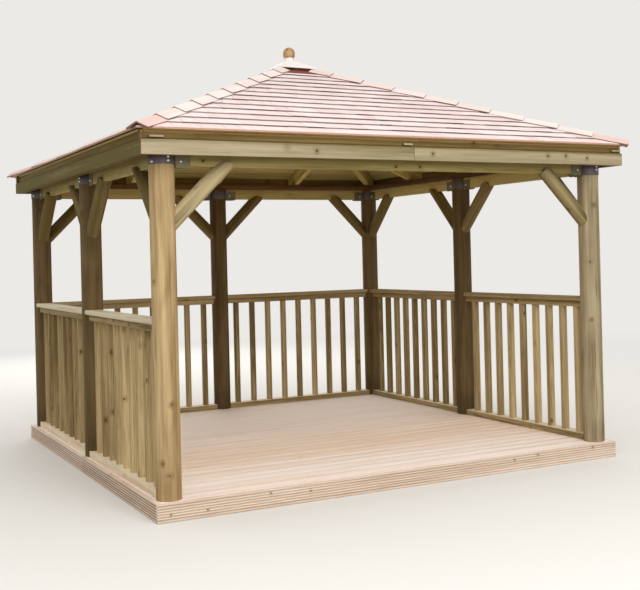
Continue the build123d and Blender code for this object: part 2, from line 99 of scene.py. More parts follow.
# Each lamp's place, target, width, power and colour.
LAMPS = {
    "front_sky": ((-1.0, -9.0, 6.3), (0, 0, 1.2), 9.0, 520.0, (1.0, 0.99, 0.97)),
    "top_sky": ((0.0, 0.0, 10.0), (0, 0, 0), 10.0, 30.0, (1.0, 0.99, 0.98)),
    "back_sky": ((1.0, 9.0, 4.5), (0, 0, 1.2), 7.0, 230.0, (1.0, 0.99, 0.97)),
}
SKY_COLOUR, SKY_STRENGTH = (1.0, 0.99, 0.97), 0.80
# The floor's half width, and the distances between which it fades into the plain background.
FLOOR_HALF, FLOOR_FADE = 60.0, (4.5, 13.0)

# The camera: place, then yaw, pitch and roll in degrees, then focal length and centre in pixels.
VIEW_PLACE, VIEW_ANGLES = (-3.72616, -7.65626, 1.57296), (27.67, 0.17, -1.42)
VIEW_SIZE, VIEW_FOCUS, VIEW_CENTRE = (640, 590), 1030.5, (324.69, 251.86)
SENSOR_WIDTH = 36.0

LENGTHS = {
    "post_radius": (0.079, "Half the width of a round post"),
    "scribe_gap": (0.0008, "Clearance round a post where a rail meets it"),
    "bracket_radius": (0.0833, "Outside radius of a post collar"),
    "bracket_steel": (0.004, "Thickness of the collars and shoes"),
    "collar_lift": (0.010, "Height of a collar's lower rim over the shoes' lower rims"),
    "shoe_length": (0.095, "How far a shoe reaches out from its collar"),
    "shoe_corner": (0.012, "Rounding of a shoe's lower end"),
    "bolt_radius": (0.010, "Radius of the domed bolt heads"),
    "timber_ease": (0.004, "Rounding of the sawn timbers' edges"),
    "board_ease": (0.005, "Rounding of the deck boards' edges"),
    "deck_pitch": (0.124, "From one deck joint to the next"),
    "deck_gap": (0.004, "Width of the joint between deck boards"),
    "deck_thickness": (0.028, "Thickness of a deck board"),
    "skirt_thickness": (0.028, "Thickness of the skirt board"),
    "skirt_joint": (0.020, "Place of the joint in a side skirt, from the middle to the back"),
    "skirt_step": (0.0015, "How far a side skirt's rear board stands back"),
    "groove_width": (0.011, "Width of a skirt groove"),
    "groove_depth": (0.006, "Depth of a skirt groove"),
    "slat_size": (0.045, "Width of a square slat"),
    "slat_offset": (0.010, "How far the slats stand outside the posts' line"),
    "slat_tenon": (0.002, "How far a slat enters the rails"),
    "subrail_height": (0.045, "Height of the timber under the handrail"),
    "subrail_inner": (0.025, "Reach of the sub-rail towards the inside"),
    "subrail_outer": (0.045, "Reach of the sub-rail towards the outside"),
    "foot_height": (0.046, "Height of the bottom rail"),
    "foot_inner": (0.042, "Reach of the bottom rail towards the inside"),
    "foot_outer": (0.062, "Reach of the bottom rail towards the outside"),
    "handrail_thickness": (0.035, "Thickness of the handrail board"),
    "handrail_inner": (0.046, "Reach of the handrail towards the inside"),
    "handrail_outer": (0.070, "Reach of the handrail towards the outside"),
    "handrail_ease": (0.009, "Rounding of the handrail's edges"),
    "beam_thickness": (0.045, "Thickness of a beam"),
    "plate_width": (0.095, "Width of the flat timber over the beams"),
    "eave_height": (2.350, "Height of the shingle butts at the eaves"),
    "roof_rise": (0.794, "Height of the roof's apex over the eaves"),
    "exposure": (0.121, "Depth in plan of a shingle course on the front slope"),
    "top_run": (0.240, "Distance of the last course from the apex, on the front slope"),
    "shingle_step": (0.010, "Height of a shingle's butt over the course below"),
    "shingle_build": (0.024, "Depth of the shingles over the roof boards"),
    "butt_gap": (0.0032, "Gap under a shingle's butt"),
    "overhang": (0.059, "How far the shingles pass the rim board"),
    "board_thickness": (0.017, "Thickness of the ceiling boards"),
    "board_pitch": (0.104, "Width of a ceiling board in plan"),
    "rafter_depth": (0.131, "Upright depth of a rafter"),
    "rafter_width": (0.045, "Width of a rafter"),
    "hip_width": (0.060, "Width of a hip rafter"),
    "hip_drop": (0.004, "How much lower a hip rafter's top and how much higher its underside is"),
    "king_size": (0.150, "Width of the block under the apex"),
    "king_height": (0.230, "Height of the block under the apex"),
    "rim_thickness": (0.036, "Thickness of the boards round the rafters' ends"),
    "rim_glow": (0.019, "Height of the rim board's fresh wood under the shingles"),
    # The next two heights bound a painted shadow line on the rim board just over the fascia.
    "rim_damp": (0.002, "Height over the fascia of the rim board's damp foot"),
    "rim_dry": (0.014, "Height over the fascia at which the rim board is dry"),
    "fascia_thickness": (0.020, "Thickness of a fascia board"),
    "fascia_gap": (0.012, "Gap between the fascia's top edge and the packers"),
    "fascia_ease": (0.003, "Rounding of the fascia's edges"),
    # The fascia's darker band lies along the top of its outer face: painted shade under the shingles'
    # overhang.
    "fascia_foot": (0.026, "Height of the darker foot of a fascia board"),
    "fascia_joint": (0.022, "Place of the joint in the front fascia"),
    "packer_height": (0.012, "Height of the packers over the front fascia"),
    "cap_exposure": (0.255, "Depth in plan of one hip capping board"),
    "cap_width": (0.084, "Width of a capping board"),
    "cap_fall": (0.017, "How far a capping board dips to its outer edge"),
    "cap_butt": (0.028, "Height of a capping board's lower end over the shingles"),
    "cap_head": (0.017, "Height of a capping board's upper end over the shingles"),
    "cap_thickness": (0.011, "Thickness of a capping board"),
    "ball_foot": (0.041, "Radius of the ball's flat foot"),
}
COUNTS = {
    "skirt_grooves": (6, 1, 12, "Grooves along a skirt board"),
    "slats": (9, 1, 30, "Slats in a bay"),
    "seed": (7, 0, 1000, "Chooses another set of boards"),
}

# Each wood's pale and dark grain, as written for a screen.
WOODS = {
    "sunlit": ("sunlit post", (218, 190, 144), (150, 122, 80)),
    "weathered": ("weathered post", (188, 172, 140), (100, 84, 54)),
    "shaded": ("shaded posts", (142, 118, 80), (84, 68, 42)),
    "brace": ("braces", (216, 198, 156), (122, 104, 62)),
    "beam": ("beams", (210, 192, 136), (160, 142, 84)),
    # The top plate's dark grain is painted shade between the ceiling and the beams.
    "plate": ("top plate", (122, 90, 62), (80, 54, 36)),
    "ceiling": ("rafters and roof boards", (236, 216, 152), (198, 177, 112)),
    "railing": ("slats and rails", (214, 190, 144), (122, 102, 64)),
    "foot": ("bottom rails", (240, 224, 196), (190, 164, 130)),
    "handrail": ("handrail", (230, 220, 192), (150, 128, 84)),
    "rim": ("rim boards", (164, 140, 86), (108, 88, 48)),
    "fresh": ("fresh wood along the top of a rim board", (234, 192, 146), (206, 162, 112)),
    "fascia": ("fascia", (196, 180, 152), (108, 98, 46)),
    "skirt": ("skirt", (240, 222, 206), (214, 188, 166)),
    # The groove pair is painted shade in the skirt's grooves.
    "groove": ("dirt in the skirt's grooves", (176, 146, 120), (126, 98, 76)),
    "deck": ("deck", (255, 241, 232), (238, 206, 178)),
    "shingle": ("shingles", (242, 228, 226), (228, 204, 200)),
    "cap": ("hip capping", (236, 224, 218), (224, 192, 182)),
    "ball": ("finial", (198, 163, 120), (130, 84, 48)),
}
FINISHES = {
    # The shingle line colour is a painted shadow under the butts of the shingles and capping boards.
    "shingle_line": ("Damp lower edges of the shingles", (84, 46, 44)),
    "shingle_fresh": ("Unweathered wood of the eave's butts and under the cap", (198, 120, 82)),
    # The sheltered wood under the metal cap is partly fresh wood and partly painted shade.
    "shingle_deep": ("Sheltered wood under the metal cap", (142, 66, 34)),
    "knot": ("Knots in all the timbers", (88, 54, 30)),
    "end_grain": ("Sawn ends of the timbers", (120, 92, 62)),
    "steel": ("Weathered steel of the collars", (98, 90, 95)),
    "rust": ("Brown clouds on the steel", (96, 86, 84)),
    "shoe": ("Zinc of the shoes that carry the beams", (124, 118, 86)),
    "bolt": ("Zinc of the bolt heads", (214, 214, 212)),
    # The zinc sheet's near-white colour is partly a painted highlight.
    "sheet": ("Zinc sheet of the roof cap", (246, 238, 236)),
    "patina": ("Dull clouds on the zinc", (222, 214, 210)),
    "floor": ("Studio floor and background", (236, 234, 230)),
    "ground": ("Light that the floor throws back under the gazebo", (160, 156, 138)),
}


def linear(rgb):
    """Turns a colour as written for a screen, 0 to 255, into the linear colour that shaders use."""
    value = np.array(rgb) / 255
    return tuple(np.where(value <= 0.04045, value / 12.92, ((value + 0.055) / 1.055) ** 2.4).tolist())


def words(key, description):
    """A property's name, which is its key in plain words, and its description."""
    return {"name": key.replace("_", " ").capitalize(), "description": description}


def length(key, default, description):
    return bpy.props.FloatProperty(**words(key, description), default=default, min=0.0, unit="LENGTH",
                                   subtype="DISTANCE", precision=4)


def number(key, default, least, most, description):
    return bpy.props.IntProperty(**words(key, description), default=default, min=least, max=most)


def colour(key, description, rgb):
    return bpy.props.FloatVectorProperty(**words(key, description), default=linear(rgb), size=3,
                                         min=0.0, max=1.0, subtype="COLOR")


class GazeboSizes(bpy.types.PropertyGroup):
    """Sizes of the boards and logs. They follow the solid frame."""
    __annotations__ = {
        **{key: length(key, *row) for key, row in LENGTHS.items()},
        **{key: number(key, *row) for key, row in COUNTS.items()},
    }


class GazeboColours(bpy.types.PropertyGroup):
    """The pale and dark grain of each wood, and the other finishes."""
    __annotations__ = {
        **{f"{wood}_light": colour(f"{wood}_light", f"Pale grain of the {owner}", light)
           for wood, (owner, light, dark) in WOODS.items()},
        **{f"{wood}_dark": colour(f"{wood}_dark", f"Dark grain of the {owner}", dark)
           for wood, (owner, light, dark) in WOODS.items()},
        **{key: colour(key, *row) for key, row in FINISHES.items()},
    }


def tint(key):
    """A colour as the user has set it."""
    return getattr(bpy.context.scene.gazebo_colours, key)


def shades(wood):
    """A wood's pale and dark grain."""
    return tint(f"{wood}_light"), tint(f"{wood}_dark")


# ---------------------------------------------------------------- shapes


def box(node):
    """The low and high corner of a solid."""
    return np.array(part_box(node))


def unit(vector):
    vector = np.asarray(vector, float)
    return vector / np.linalg.norm(vector, axis=-1, keepdims=True)


def rounded(half_a, half_b, radius, steps=2):
    """Outlines of rectangles with rounded corners, (bars, points, 2): each corner is a
    quarter circle of the radius about a centre that far inside both edges."""
    half_a, half_b, radius = (np.atleast_1d(value)[:, None] for value in (half_a, half_b, radius))
    corner = np.repeat(np.arange(4) * math.pi / 2, steps + 1)
    angle = corner + np.tile(np.linspace(0, math.pi / 2, steps + 1), 4)
    side_a = np.sign(np.cos(corner + math.pi / 4))
    side_b = np.sign(np.sin(corner + math.pi / 4))
    return np.stack(np.broadcast_arrays(side_a * (half_a - radius) + radius * np.cos(angle),
                                        side_b * (half_b - radius) + radius * np.sin(angle)), -1)


def circle(count):
    """Points of a unit circle from the X axis, (count, 2)."""
    turn = np.linspace(0, 2 * math.pi, count, endpoint=False)
    return np.stack([np.cos(turn), np.sin(turn)], -1)


def drawn(outline, origin, along, across):
    """Where the points of outlines lie, (bars, points, 3), with their first axis along across
    and their second square to both directions."""
    across = unit(across)
    third = np.cross(unit(along), across)
    return np.atleast_2d(origin)[:, None] + outline[..., :1] * across + outline[..., 1:] * third


def bay_line(start, end):
    """A bay's first post axis, its direction, its outward direction and its length."""
    first, last = (box(f"{post}_post").mean(0) * (1, 1, 0) for post in (start, end))
    size = np.linalg.norm(last - first)
    along = (last - first) / size
    return first, along, np.cross(UP, along), size


class Timbers:
    """Collects bars for one mesh. A bar is an outline carried in a straight line: each
    outline point runs from its own start to its own end, so ends can be scribed or
    mitred, and the last few millimetres shrink a little, as a cut end does."""

    def __init__(self, seed):
        self.random = np.random.default_rng(seed)
        self.blocks = []

    def add(self, outline, origin, along, across, start, end, ease=0.0015, pith=0.07, tone=None, face=0.0):
        """Carries the outlines along their lines from start to end, with four rings."""
        count = max(len(outline), len(np.atleast_2d(origin)))
        outline = np.broadcast_to(outline, (count, *outline.shape[1:]))
        start, end = (np.broadcast_to(value, outline.shape[:2]) for value in (start, end))
        reach = np.stack([start, start + ease, end - ease, end], 1)
        middle = outline.mean(1, keepdims=True)
        size = np.abs(outline - middle).max(1, keepdims=True)
        small = middle + (outline - middle) * (1 - ease / size)
        rings = np.stack([small, outline, outline, small], 1)
        place = drawn(rings.reshape(count, -1, 2), origin, along, across).reshape(*reach.shape, 3)
        heart = self.random.uniform(-pith, pith, (count, 1, 1, 2))
        shift = self.random.uniform(0, 40, (count, 1, 1, 1))
        grain = np.concatenate([reach[..., None] + shift, rings + heart], -1)
        if tone is None:
            tone = self.random.uniform(0, 1, count)
        if np.ndim(tone) == 1:
            tone = tone[:, None, None]
        cut = np.broadcast_to(face, reach.shape).astype(float)
        cut[:, (0, 3)] = 1
        self.surface(place + reach[..., None] * unit(along), grain, tone, cut)

    def rail(self, ends, inner, outer, bottom, top, radius, corner, steps=2, **look):
        """A bar between two posts, from inner to outer of their line. Its ends are scribed to
        a circle round each post by Pythagoras: the root of the radius squared less the
        sideways offset squared."""
        origin, along, outward, span = bay_line(*ends)
        outline = rounded((inner + outer) / 2, (top - bottom) / 2, corner, steps)
        outline[..., 0] += (outer - inner) / 2
        away = np.sqrt(radius ** 2 - np.minimum(np.abs(outline[..., 0]), radius) ** 2)
        self.add(outline, origin + UP * (bottom + top) / 2, along, outward, away, span - away, **look)

    def surface(self, place, grain, tone=0.0, cut=0.0, loop=False):
        """Adds tubes that are already worked out, (tubes, rings, points, 3), or one alone. They
        are closed by flat ends, or run round to their own first ring where they are loops."""
        place, grain = (value.reshape(-1, *value.shape[-3:]) for value in np.broadcast_arrays(place, grain))
        tone, cut = (np.broadcast_to(value, place.shape[:3]) for value in (tone, cut))
        self.blocks.append((place, grain, tone, cut, loop))

    def piece(self, name, material, nodes, slot, sharp=35):
        """Joins the collected tubes into one mesh that stands for the CAD nodes."""
        corners, starts = [], []
        first = corner_count = 0
        for place, _, _, _, loop in self.blocks:
            index = first + np.arange(place.size // 3).reshape(place.shape[:3])
            path = np.concatenate([index, index[:, :1]], 1) if loop else index
            turned = np.roll(path, -1, 2)
            quads = np.stack([path[:, :-1], turned[:, :-1], turned[:, 1:], path[:, 1:]], -1)
            ends = np.stack([index[:, 0, ::-1], index[:, -1]], 1)[:0 if loop else len(index)]
            for faces in (quads.reshape(-1, 4), ends.reshape(-1, place.shape[2])):
                corners.append(faces.ravel())
                starts.append(corner_count + np.arange(len(faces)) * faces.shape[1])
                corner_count += faces.size
            first += index.size
        places, grains, tones, cuts = (
            np.concatenate([block[part].ravel() for block in self.blocks]) for part in range(4))
        mesh = bpy.data.meshes.new(name)
        mesh.vertices.add(first)
        mesh.vertices.foreach_set("co", places)
        mesh.loops.add(corner_count)
        mesh.loops.foreach_set("vertex_index", np.concatenate(corners).astype(np.int32))
        starts = np.concatenate(starts).astype(np.int32)
        mesh.polygons.add(len(starts))
        mesh.polygons.foreach_set("loop_start", starts)
        mesh.update(calc_edges=True)
        write(mesh, "grain", grains.reshape(-1, 3))
        write(mesh, "tone", tones)
        write(mesh, "cut", cuts)
        show(name, mesh, material, nodes, sharp)


def write(mesh, name, values):
    """Gives every vertex of a mesh its number or vector."""
    kind, field = ("FLOAT_VECTOR", "vector") if values.ndim > 1 else ("FLOAT", "value")
    mesh.attributes.new(name, kind, "POINT").data.foreach_set(field, values.ravel())


def show(name, mesh, material, nodes, sharp):
    """Puts a finished mesh into the scene as a piece of the gazebo."""
    mesh.shade_smooth()
    mesh.set_sharp_from_angle(angle=math.radians(sharp))
    mesh.materials.clear()
    mesh.materials.append(material)
    piece = bpy.data.objects.new(name, mesh)
    bpy.context.scene.collection.objects.link(piece)
    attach(piece, "root")
    if nodes:
        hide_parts(*nodes)


def dress(node, material):
    """Gives a material to a solid that shows as it is."""
    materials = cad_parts[node].data.materials
    materials.clear()
    materials.append(material)


class Slope:
    """One side of the roof: its outward direction and the one along its eave, its run from the
    apex to the eave, half its eave's length, its direction down, and that one's level share."""

    def __init__(self, sizes, side):
        self.outward = OUTWARD[side]
        self.eave = np.cross(UP, self.outward)
        wide, deep = box("right_shingles")[1, 0], abs(box("front_shingles")[0, 1])
        self.run, self.half = (deep, wide) if side in ("front", "back") else (wide, deep)
        self.share = self.run / deep
        self.down = unit(self.outward * self.run - UP * sizes.roof_rise)
        self.fall = self.run / math.hypot(self.run, sizes.roof_rise)


def roof_height(sizes, run, full_run):
    """Height of the roof line at a distance from the middle."""
    return sizes.eave_height + sizes.roof_rise * (1 - run / full_run)


def hips(sizes):
    """Each hip's signs in plan, its level direction and its direction down the roof."""
    wide, deep = Slope(sizes, "right").run, Slope(sizes, "front").run
    for signs in ((-1, -1), (-1, 1), (1, -1), (1, 1)):
        corner = (signs[0] * wide, signs[1] * deep)
        yield signs, unit((*corner, 0)), unit((*corner, -sizes.roof_rise))


def hip_reach(sizes):
    """The length of a hip in plan."""
    return math.hypot(Slope(sizes, "right").run, Slope(sizes, "front").run)


# ---------------------------------------------------------------- materials


class Graph:
    """A material or a world written as formulas: each call adds nodes and gives their output."""

    def __init__(self, owner):
        self.owner = owner
        owner.use_nodes = True
        self.tree = owner.node_tree
        self.tree.nodes.clear()

    def node(self, kind, values=(), output=0, **settings):
        node = self.tree.nodes.new(kind)
        for key, value in settings.items():
            setattr(node, key, value)
        for socket, value in values:
            self.put(node.inputs[socket], value)
        return node.outputs[output]

    def put(self, socket, value):
        if isinstance(value, bpy.types.NodeSocket):
            self.tree.links.new(value, socket)
        elif hasattr(value, "__len__") and len(value) == 3 and socket.type == "RGBA":
            socket.default_value = (*value, 1)
        else:
            socket.default_value = value

    def given(self):
        """The grain, tone and cut that the mesh carries."""
        return [self.node("ShaderNodeAttribute", output=output, attribute_name=name)
                for name, output in (("grain", "Vector"), ("tone", "Fac"), ("cut", "Fac"))]

    def place(self):
        return self.node("ShaderNodeTexCoord", output="Object")

    def seen(self, *kinds):
        """1 for rays of these kinds and 0 for the others."""
        share = 0.0
        for kind in kinds:
            ray = self.node("ShaderNodeLightPath", output=f"Is {kind} Ray")
            share = self.math("ADD", share, ray, clamp=True)
        return share

    def math(self, operation, a, b=0.0, c=0.0, clamp=False):
        return self.node("ShaderNodeMath", ((0, a), (1, b), (2, c)), operation=operation, use_clamp=clamp)

    def times(self, a, b, c=0.0, clamp=False):
        """a times b, plus c."""
        return self.math("MULTIPLY_ADD", a, b, c, clamp)

    def sway(self, base, value, amount, clamp=False):
        """Moves base by the amount times how far the value is from its middle, 0.5."""
        return self.times(self.math("SUBTRACT", value, 0.5), amount, base, clamp)

    def vector(self, operation, a, b=(0, 0, 0), output=0):
        return self.node("ShaderNodeVectorMath", ((0, a), (1, b)), output=output, operation=operation)

    def noise(self, vector, scale, detail=2.0, roughness=0.55):
        """Noise in clouds of one over the scale, or in fibres where the scale differs by axis."""
        if isinstance(scale, tuple):
            vector, scale = self.vector("MULTIPLY", vector, scale), 1.0
        return self.node("ShaderNodeTexNoise", (("Vector", vector), ("Scale", scale), ("Detail", detail),
                                                ("Roughness", roughness)))

    def ease(self, value, low, high):
        """Runs smoothly from 0 at the low value to 1 at the high one."""
        return self.node("ShaderNodeMapRange", ((0, value), (1, low), (2, high), (3, 0.0), (4, 1.0)),
                         interpolation_type="SMOOTHSTEP")

    def mix(self, share, a, b):
        return self.node("ShaderNodeMix", ((0, share), (6, a), (7, b)), output=2, data_type="RGBA")

    def end(self, kind, shader):
        self.put(self.tree.nodes.new(kind).inputs[0], shader)
        return self.owner

    def finish(self, base, roughness, bump=None, **sockets):
        """The material, whose bump is a height, its depth in metres and its strength."""
        sockets.update({"Base Color": base, "Roughness": roughness})
        if bump:
            height, depth, strength = bump
            sockets["Normal"] = self.node("ShaderNodeBump", (
                ("Strength", strength), ("Distance", depth), ("Height", height)))
        return self.end("ShaderNodeOutputMaterial", self.node("ShaderNodeBsdfPrincipled", sockets.items()))


def timber(name, wood, contrast=1.0, ring=0.007, knot=(0.34, 0.07, 0.011), ends="end_grain", checks=0.0,
           tones=0.5, knots="", knot_depth=0.85, bare=False, pale=""):
    """Sawn or turned wood. The grain attribute is the place in the board's own tree: growth
    rings are a sine of the distance to the heart, bent round knots, with fibres and broad
    streaks drawn out along the board. Knots lie at the points of a stretched cell pattern,
    whose spacing along and across the grain comes before their radius, and at the places
    given. A cut below 0 marks parts of a second grain: paler wood, or painted shade in the
    skirt's grooves. Bare solids have no grain attribute and use their own place."""
    g = Graph(bpy.data.materials.new(name))
    place = g.place()
    grain, tone, cut = g.given()
    if bare:
        grain = g.node("ShaderNodeMapping", (("Vector", place), ("Rotation", (0, 0, math.pi / 2))))
    along, across, radius = knot
    cell = g.vector("MULTIPLY", grain, (1 / along, 1 / across, 1 / across))
    heart = g.node("ShaderNodeTexVoronoi", (("Vector", cell), ("Scale", 1.0)), output="Position")
    offset = g.vector("SUBTRACT", cell, heart)
    away = g.vector("LENGTH", g.vector("MULTIPLY", offset, (0.75 * along, across, across)), output=1)
    for spot in KNOTS.get(knots, ()):
        away = g.math("MINIMUM", away, g.vector("DISTANCE", place, spot, output=1))
    core = g.ease(away, radius, 0.6 * radius)
    halo = g.ease(away, 3.2 * radius, radius)
    distance = g.vector("LENGTH", g.vector("MULTIPLY", grain, (0, 1, 1)), output=1)
    wobble = g.noise(grain, (1.1, 7, 7), detail=1)
    phase = g.times(halo, 0.004, g.times(wobble, 0.05, distance))
    rings = g.times(g.math("SINE", g.times(phase, 2 * math.pi / ring)), 0.5, 0.5)
    fibre = g.noise(grain, (7, 210, 210), detail=3)
    figure = g.sway(0.45, rings, 0.28 * contrast)
    figure = g.sway(figure, fibre, 0.9 * contrast)
    figure = g.sway(figure, g.noise(grain, (0.9, 26, 26)), 1.8 * contrast)
    figure = g.sway(figure, tone, tones)
    figure = g.times(halo, 0.25, figure, clamp=True)
    base = g.mix(figure, *shades(wood))
    if pale:
        base = g.mix(g.ease(cut, -0.1, -0.8), base, g.mix(figure, *shades(pale)))
    if checks:
        split = g.noise(grain, (1.6, 46, 46), roughness=0.4)
        split = g.ease(split, 0.72 - 0.06 * checks, 0.78 - 0.06 * checks)
        base = g.mix(g.times(split, 0.6), base, tint("knot"))
    base = g.mix(g.times(core, knot_depth), base, tint("knot"))
    if ends:
        base = g.mix(g.times(cut, 0.8), base, tint(ends))
    height = g.times(core, -0.5, g.times(rings, 0.3, fibre))
    return g.finish(base, g.times(fibre, 0.2, 0.62), (height, 0.0012, 0.6), **{"Specular IOR Level": 0.15})


def metal(name, base, patina, roughness, scale, metallic, other=""):
    """Weathered sheet: cloudy patina and fine scratches of noise over the plain metal. Where
    there is another finish, the tone attribute runs from the first to the other."""
    g = Graph(bpy.data.materials.new(name))
    base = tint(base)
    if other:
        base = g.mix(g.given()[1], base, tint(other))
    clouds = g.ease(g.noise(g.place(), scale, detail=4), 0.4, 0.7)
    scratches = g.noise(g.place(), scale * 9)
    base = g.mix(g.times(clouds, 0.6), base, tint(patina))
    rough = g.times(scratches, 0.25, roughness - 0.1)
    return g.finish(base, rough, (scratches, 0.0004, 0.3), Metallic=metallic)


def cedar(name, light, dark, tones):
    """Split cedar: fibres and streaks of noise drawn out down the slope. The cut attribute is
    1 at the foot of a butt, where a painted shadow line, darker on some shingles than
    others, stands for the shadow under the butt, and -1 where the wood is still fresh."""
    g = Graph(bpy.data.materials.new(name))
    grain, tone, cut = g.given()
    fibre = g.noise(grain, (6, 170, 60), detail=3)
    streak = g.noise(grain, (1.5, 34, 9))
    figure = g.sway(0.45, tone, tones)
    figure = g.sway(figure, fibre, 0.9)
    figure = g.sway(figure, streak, 1.3, clamp=True)
    # A painted shadow line under each butt, darker on some shingles than others.
    painted_shadow = g.times(g.math("FRACT", g.times(tone, 7.31)), 0.35, 0.65)
    base = g.mix(g.times(g.ease(cut, 0.0, 0.45), painted_shadow), g.mix(figure, tint(light), tint(dark)),
                 tint("shingle_line"))
    base = g.mix(g.ease(cut, -0.1, -0.8), base, tint("shingle_fresh"))
    return g.finish(base, g.times(fibre, 0.2, 0.72), (g.times(streak, 0.5, fibre), 0.0015, 0.6))


# ---------------------------------------------------------------- operators


class Maker(bpy.types.Operator):
    """Shared by all the makers"""
    bl_options = {"REGISTER", "UNDO"}

    def execute(self, context):
        self.make(context.scene.gazebo_sizes)
        return {"FINISHED"}


class GAZEBO_OT_stage(Maker):
    """Floor, soft studio light and the camera"""
    bl_idname = "gazebo.stage"
    bl_label = "Stage"

    def make(self, sizes):
        mesh = bpy.data.meshes.new("studio_floor")
        corners = FLOOR_HALF * np.array([(-1, -1, 0), (1, -1, 0), (1, 1, 0), (-1, 1, 0)])
        mesh.from_pydata(corners.tolist(), [], [(0, 1, 2, 3)])
        g = Graph(bpy.data.materials.new("studio_floor"))
        seen = g.seen("Camera", "Glossy", "Transmission")
        far = g.times(seen, g.ease(g.vector("LENGTH", g.place(), output=1), *FLOOR_FADE))
        base = g.mix(far, g.mix(seen, tint("ground"), tint("floor")), (0, 0, 0))
        mesh.materials.append(g.finish(base, 0.95, **{
            "Emission Color": tint("floor"), "Emission Strength": far, "Specular IOR Level": 0.0}))
        placed("studio_floor", mesh)

        world = bpy.data.worlds.new("studio_sky")
        bpy.context.scene.world = world
        g = Graph(world)
        light = g.node("ShaderNodeBackground", ((0, SKY_COLOUR), (1, SKY_STRENGTH)))
        shown = g.node("ShaderNodeBackground", ((0, tint("floor")), (1, 1.0)))
        seen = g.seen("Camera", "Transmission")
        g.end("ShaderNodeOutputWorld", g.node("ShaderNodeMixShader", ((0, seen), (1, light), (2, shown))))

        for name, (place, target, width, power, shade) in LAMPS.items():
            data = bpy.data.lights.new(name, "AREA")
            data.shape = "DISK"
            data.size, data.energy, data.color = width, power, shade
            placed(name, data).matrix_world = aimed(place, unit(np.subtract(target, place)))

        yaw, pitch, roll = np.radians(VIEW_ANGLES)
        forward = np.array([math.sin(yaw), math.cos(yaw), math.tan(pitch)]) * math.cos(pitch)
        wide, tall = VIEW_SIZE
        data = bpy.data.cameras.new("photo_view")
        data.sensor_fit = "HORIZONTAL"
        data.sensor_width = SENSOR_WIDTH
        data.lens = VIEW_FOCUS * SENSOR_WIDTH / wide
        data.shift_x = (wide / 2 - VIEW_CENTRE[0]) / wide
        data.shift_y = (VIEW_CENTRE[1] - tall / 2) / wide
        data.clip_end = 200.0
        camera = placed("photo_view", data)
        camera.matrix_world = aimed(VIEW_PLACE, forward, roll)
        bpy.context.scene.camera = camera
        bpy.context.scene.view_settings.view_transform = "Standard"


def placed(name, data):
    """Links a new object of the stage."""
    item = bpy.data.objects.new(name, data)
    bpy.context.scene.collection.objects.link(item)
    return item


def aimed(place, forward, roll=0.0):
    """The matrix of a lamp or camera: its -Z axis looks forward, turned by roll about it."""
    right = np.array([forward[1], -forward[0], 0.0])
    right = unit(right) if np.linalg.norm(right) > 1e-6 else np.array([1.0, 0, 0])
    above = np.cross(right, forward)
    matrix = np.eye(4)
    matrix[:3, 0] = math.cos(roll) * right + math.sin(roll) * above
    matrix[:3, 1] = math.cos(roll) * above - math.sin(roll) * right
    matrix[:3, 2] = -forward
    matrix[:3, 3] = place
    return Matrix(matrix.tolist())


class GAZEBO_OT_deck(Maker):
    """Deck boards side by side, with eased edges"""
    bl_idname = "gazebo.deck"
    bl_label = "Deck"

    def make(self, sizes):
        """The boards' tone follows a bell curve, darkest a little in front of the middle."""
        darkest, spread = -0.6, 0.7
        low, high = box("deck")
        count = int((high[1] - low[1]) / sizes.deck_pitch + 1e-6)
        margin = (high[1] - low[1] - (count - 1) * sizes.deck_pitch) / 2
        joints = low[1] + margin + np.arange(count) * sizes.deck_pitch
        start = np.concatenate([[low[1]], joints + sizes.deck_gap])
        end = np.concatenate([joints, [high[1]]])
        middle = (start + end) / 2
        boards = Timbers(sizes.seed)
        outline = rounded((end - start) / 2, sizes.deck_thickness / 2, sizes.board_ease)
        origin = middle[:, None] * OUTWARD["back"] + UP * (high[2] - sizes.deck_thickness / 2)
        tone = 0.65 * np.exp(-((middle - darkest) / spread) ** 2)
        tone += boards.random.uniform(-0.05, 0.15, count + 1)
        boards.add(outline, origin, OUTWARD["right"], OUTWARD["back"], low[0], high[0], pith=0.12,
                   tone=tone)
        wood = timber("deck_timber", "deck", contrast=0.9, ring=0.009, knot=(1.6, 0.20, 0.013), tones=0.9,
                      knot_depth=0.5)
        boards.piece("deck_boards", wood, ["deck"], "deck_timber")
        dress("floor_frame", timber("floor_frame_timber", "beam", ends="", bare=True))


class GAZEBO_OT_skirts(Maker):
    """Grooved boards on edge round the base"""
    bl_idname = "gazebo.skirts"
    bl_label = "Skirts"

    def make(self, sizes):
        wood = timber("skirt_timber", "skirt", ring=0.008, knot=(0.8, 0.12, 0.009), ends="skirt_light",
                      tones=0.6, knots="skirt", knot_depth=0.7, pale="groove")
        height = box("front_skirt")[1, 2]
        outline = skirt_profile(sizes, height)
        depth = (sizes.skirt_thickness - outline[:, 0]) / sizes.groove_depth
        inside = np.abs(outline[:, 1] + height / 2) < height / 2 - sizes.timber_ease
        groove = np.where((depth < 1.01) & inside, depth, 0)
        for seed, (side, outward) in enumerate(OUTWARD.items()):
            low, high = box(f"{side}_skirt")
            along = np.cross(UP, outward)
            face = np.abs(outward @ np.where(outward < 0, low, high))
            half = abs(along @ (high - low)) / 2
            joint = along[1] * sizes.skirt_joint
            spans = [(-half, half, 0)]
            if side in ("left", "right"):
                spans = [(-half, joint - JOINT_GAP, joint < 0), (joint + JOINT_GAP, half, joint > 0)]
            boards = Timbers(sizes.seed + 10 + seed)
            # The grooves are painted darker, more on the sides than at the front: painted shade.
            painted_shade = 0.38 if side == "front" else 0.85
            for start, end, rear in spans:
                origin = outward * (face - sizes.skirt_thickness - sizes.skirt_step * rear)
                boards.add(outline[None], origin, along, outward, start, end, pith=0.04,
                           tone=0.15 if rear else 0.55, face=-groove * painted_shade)
            boards.piece(f"{side}_skirt_board", wood, [f"{side}_skirt"], "skirt_timber", sharp=50)


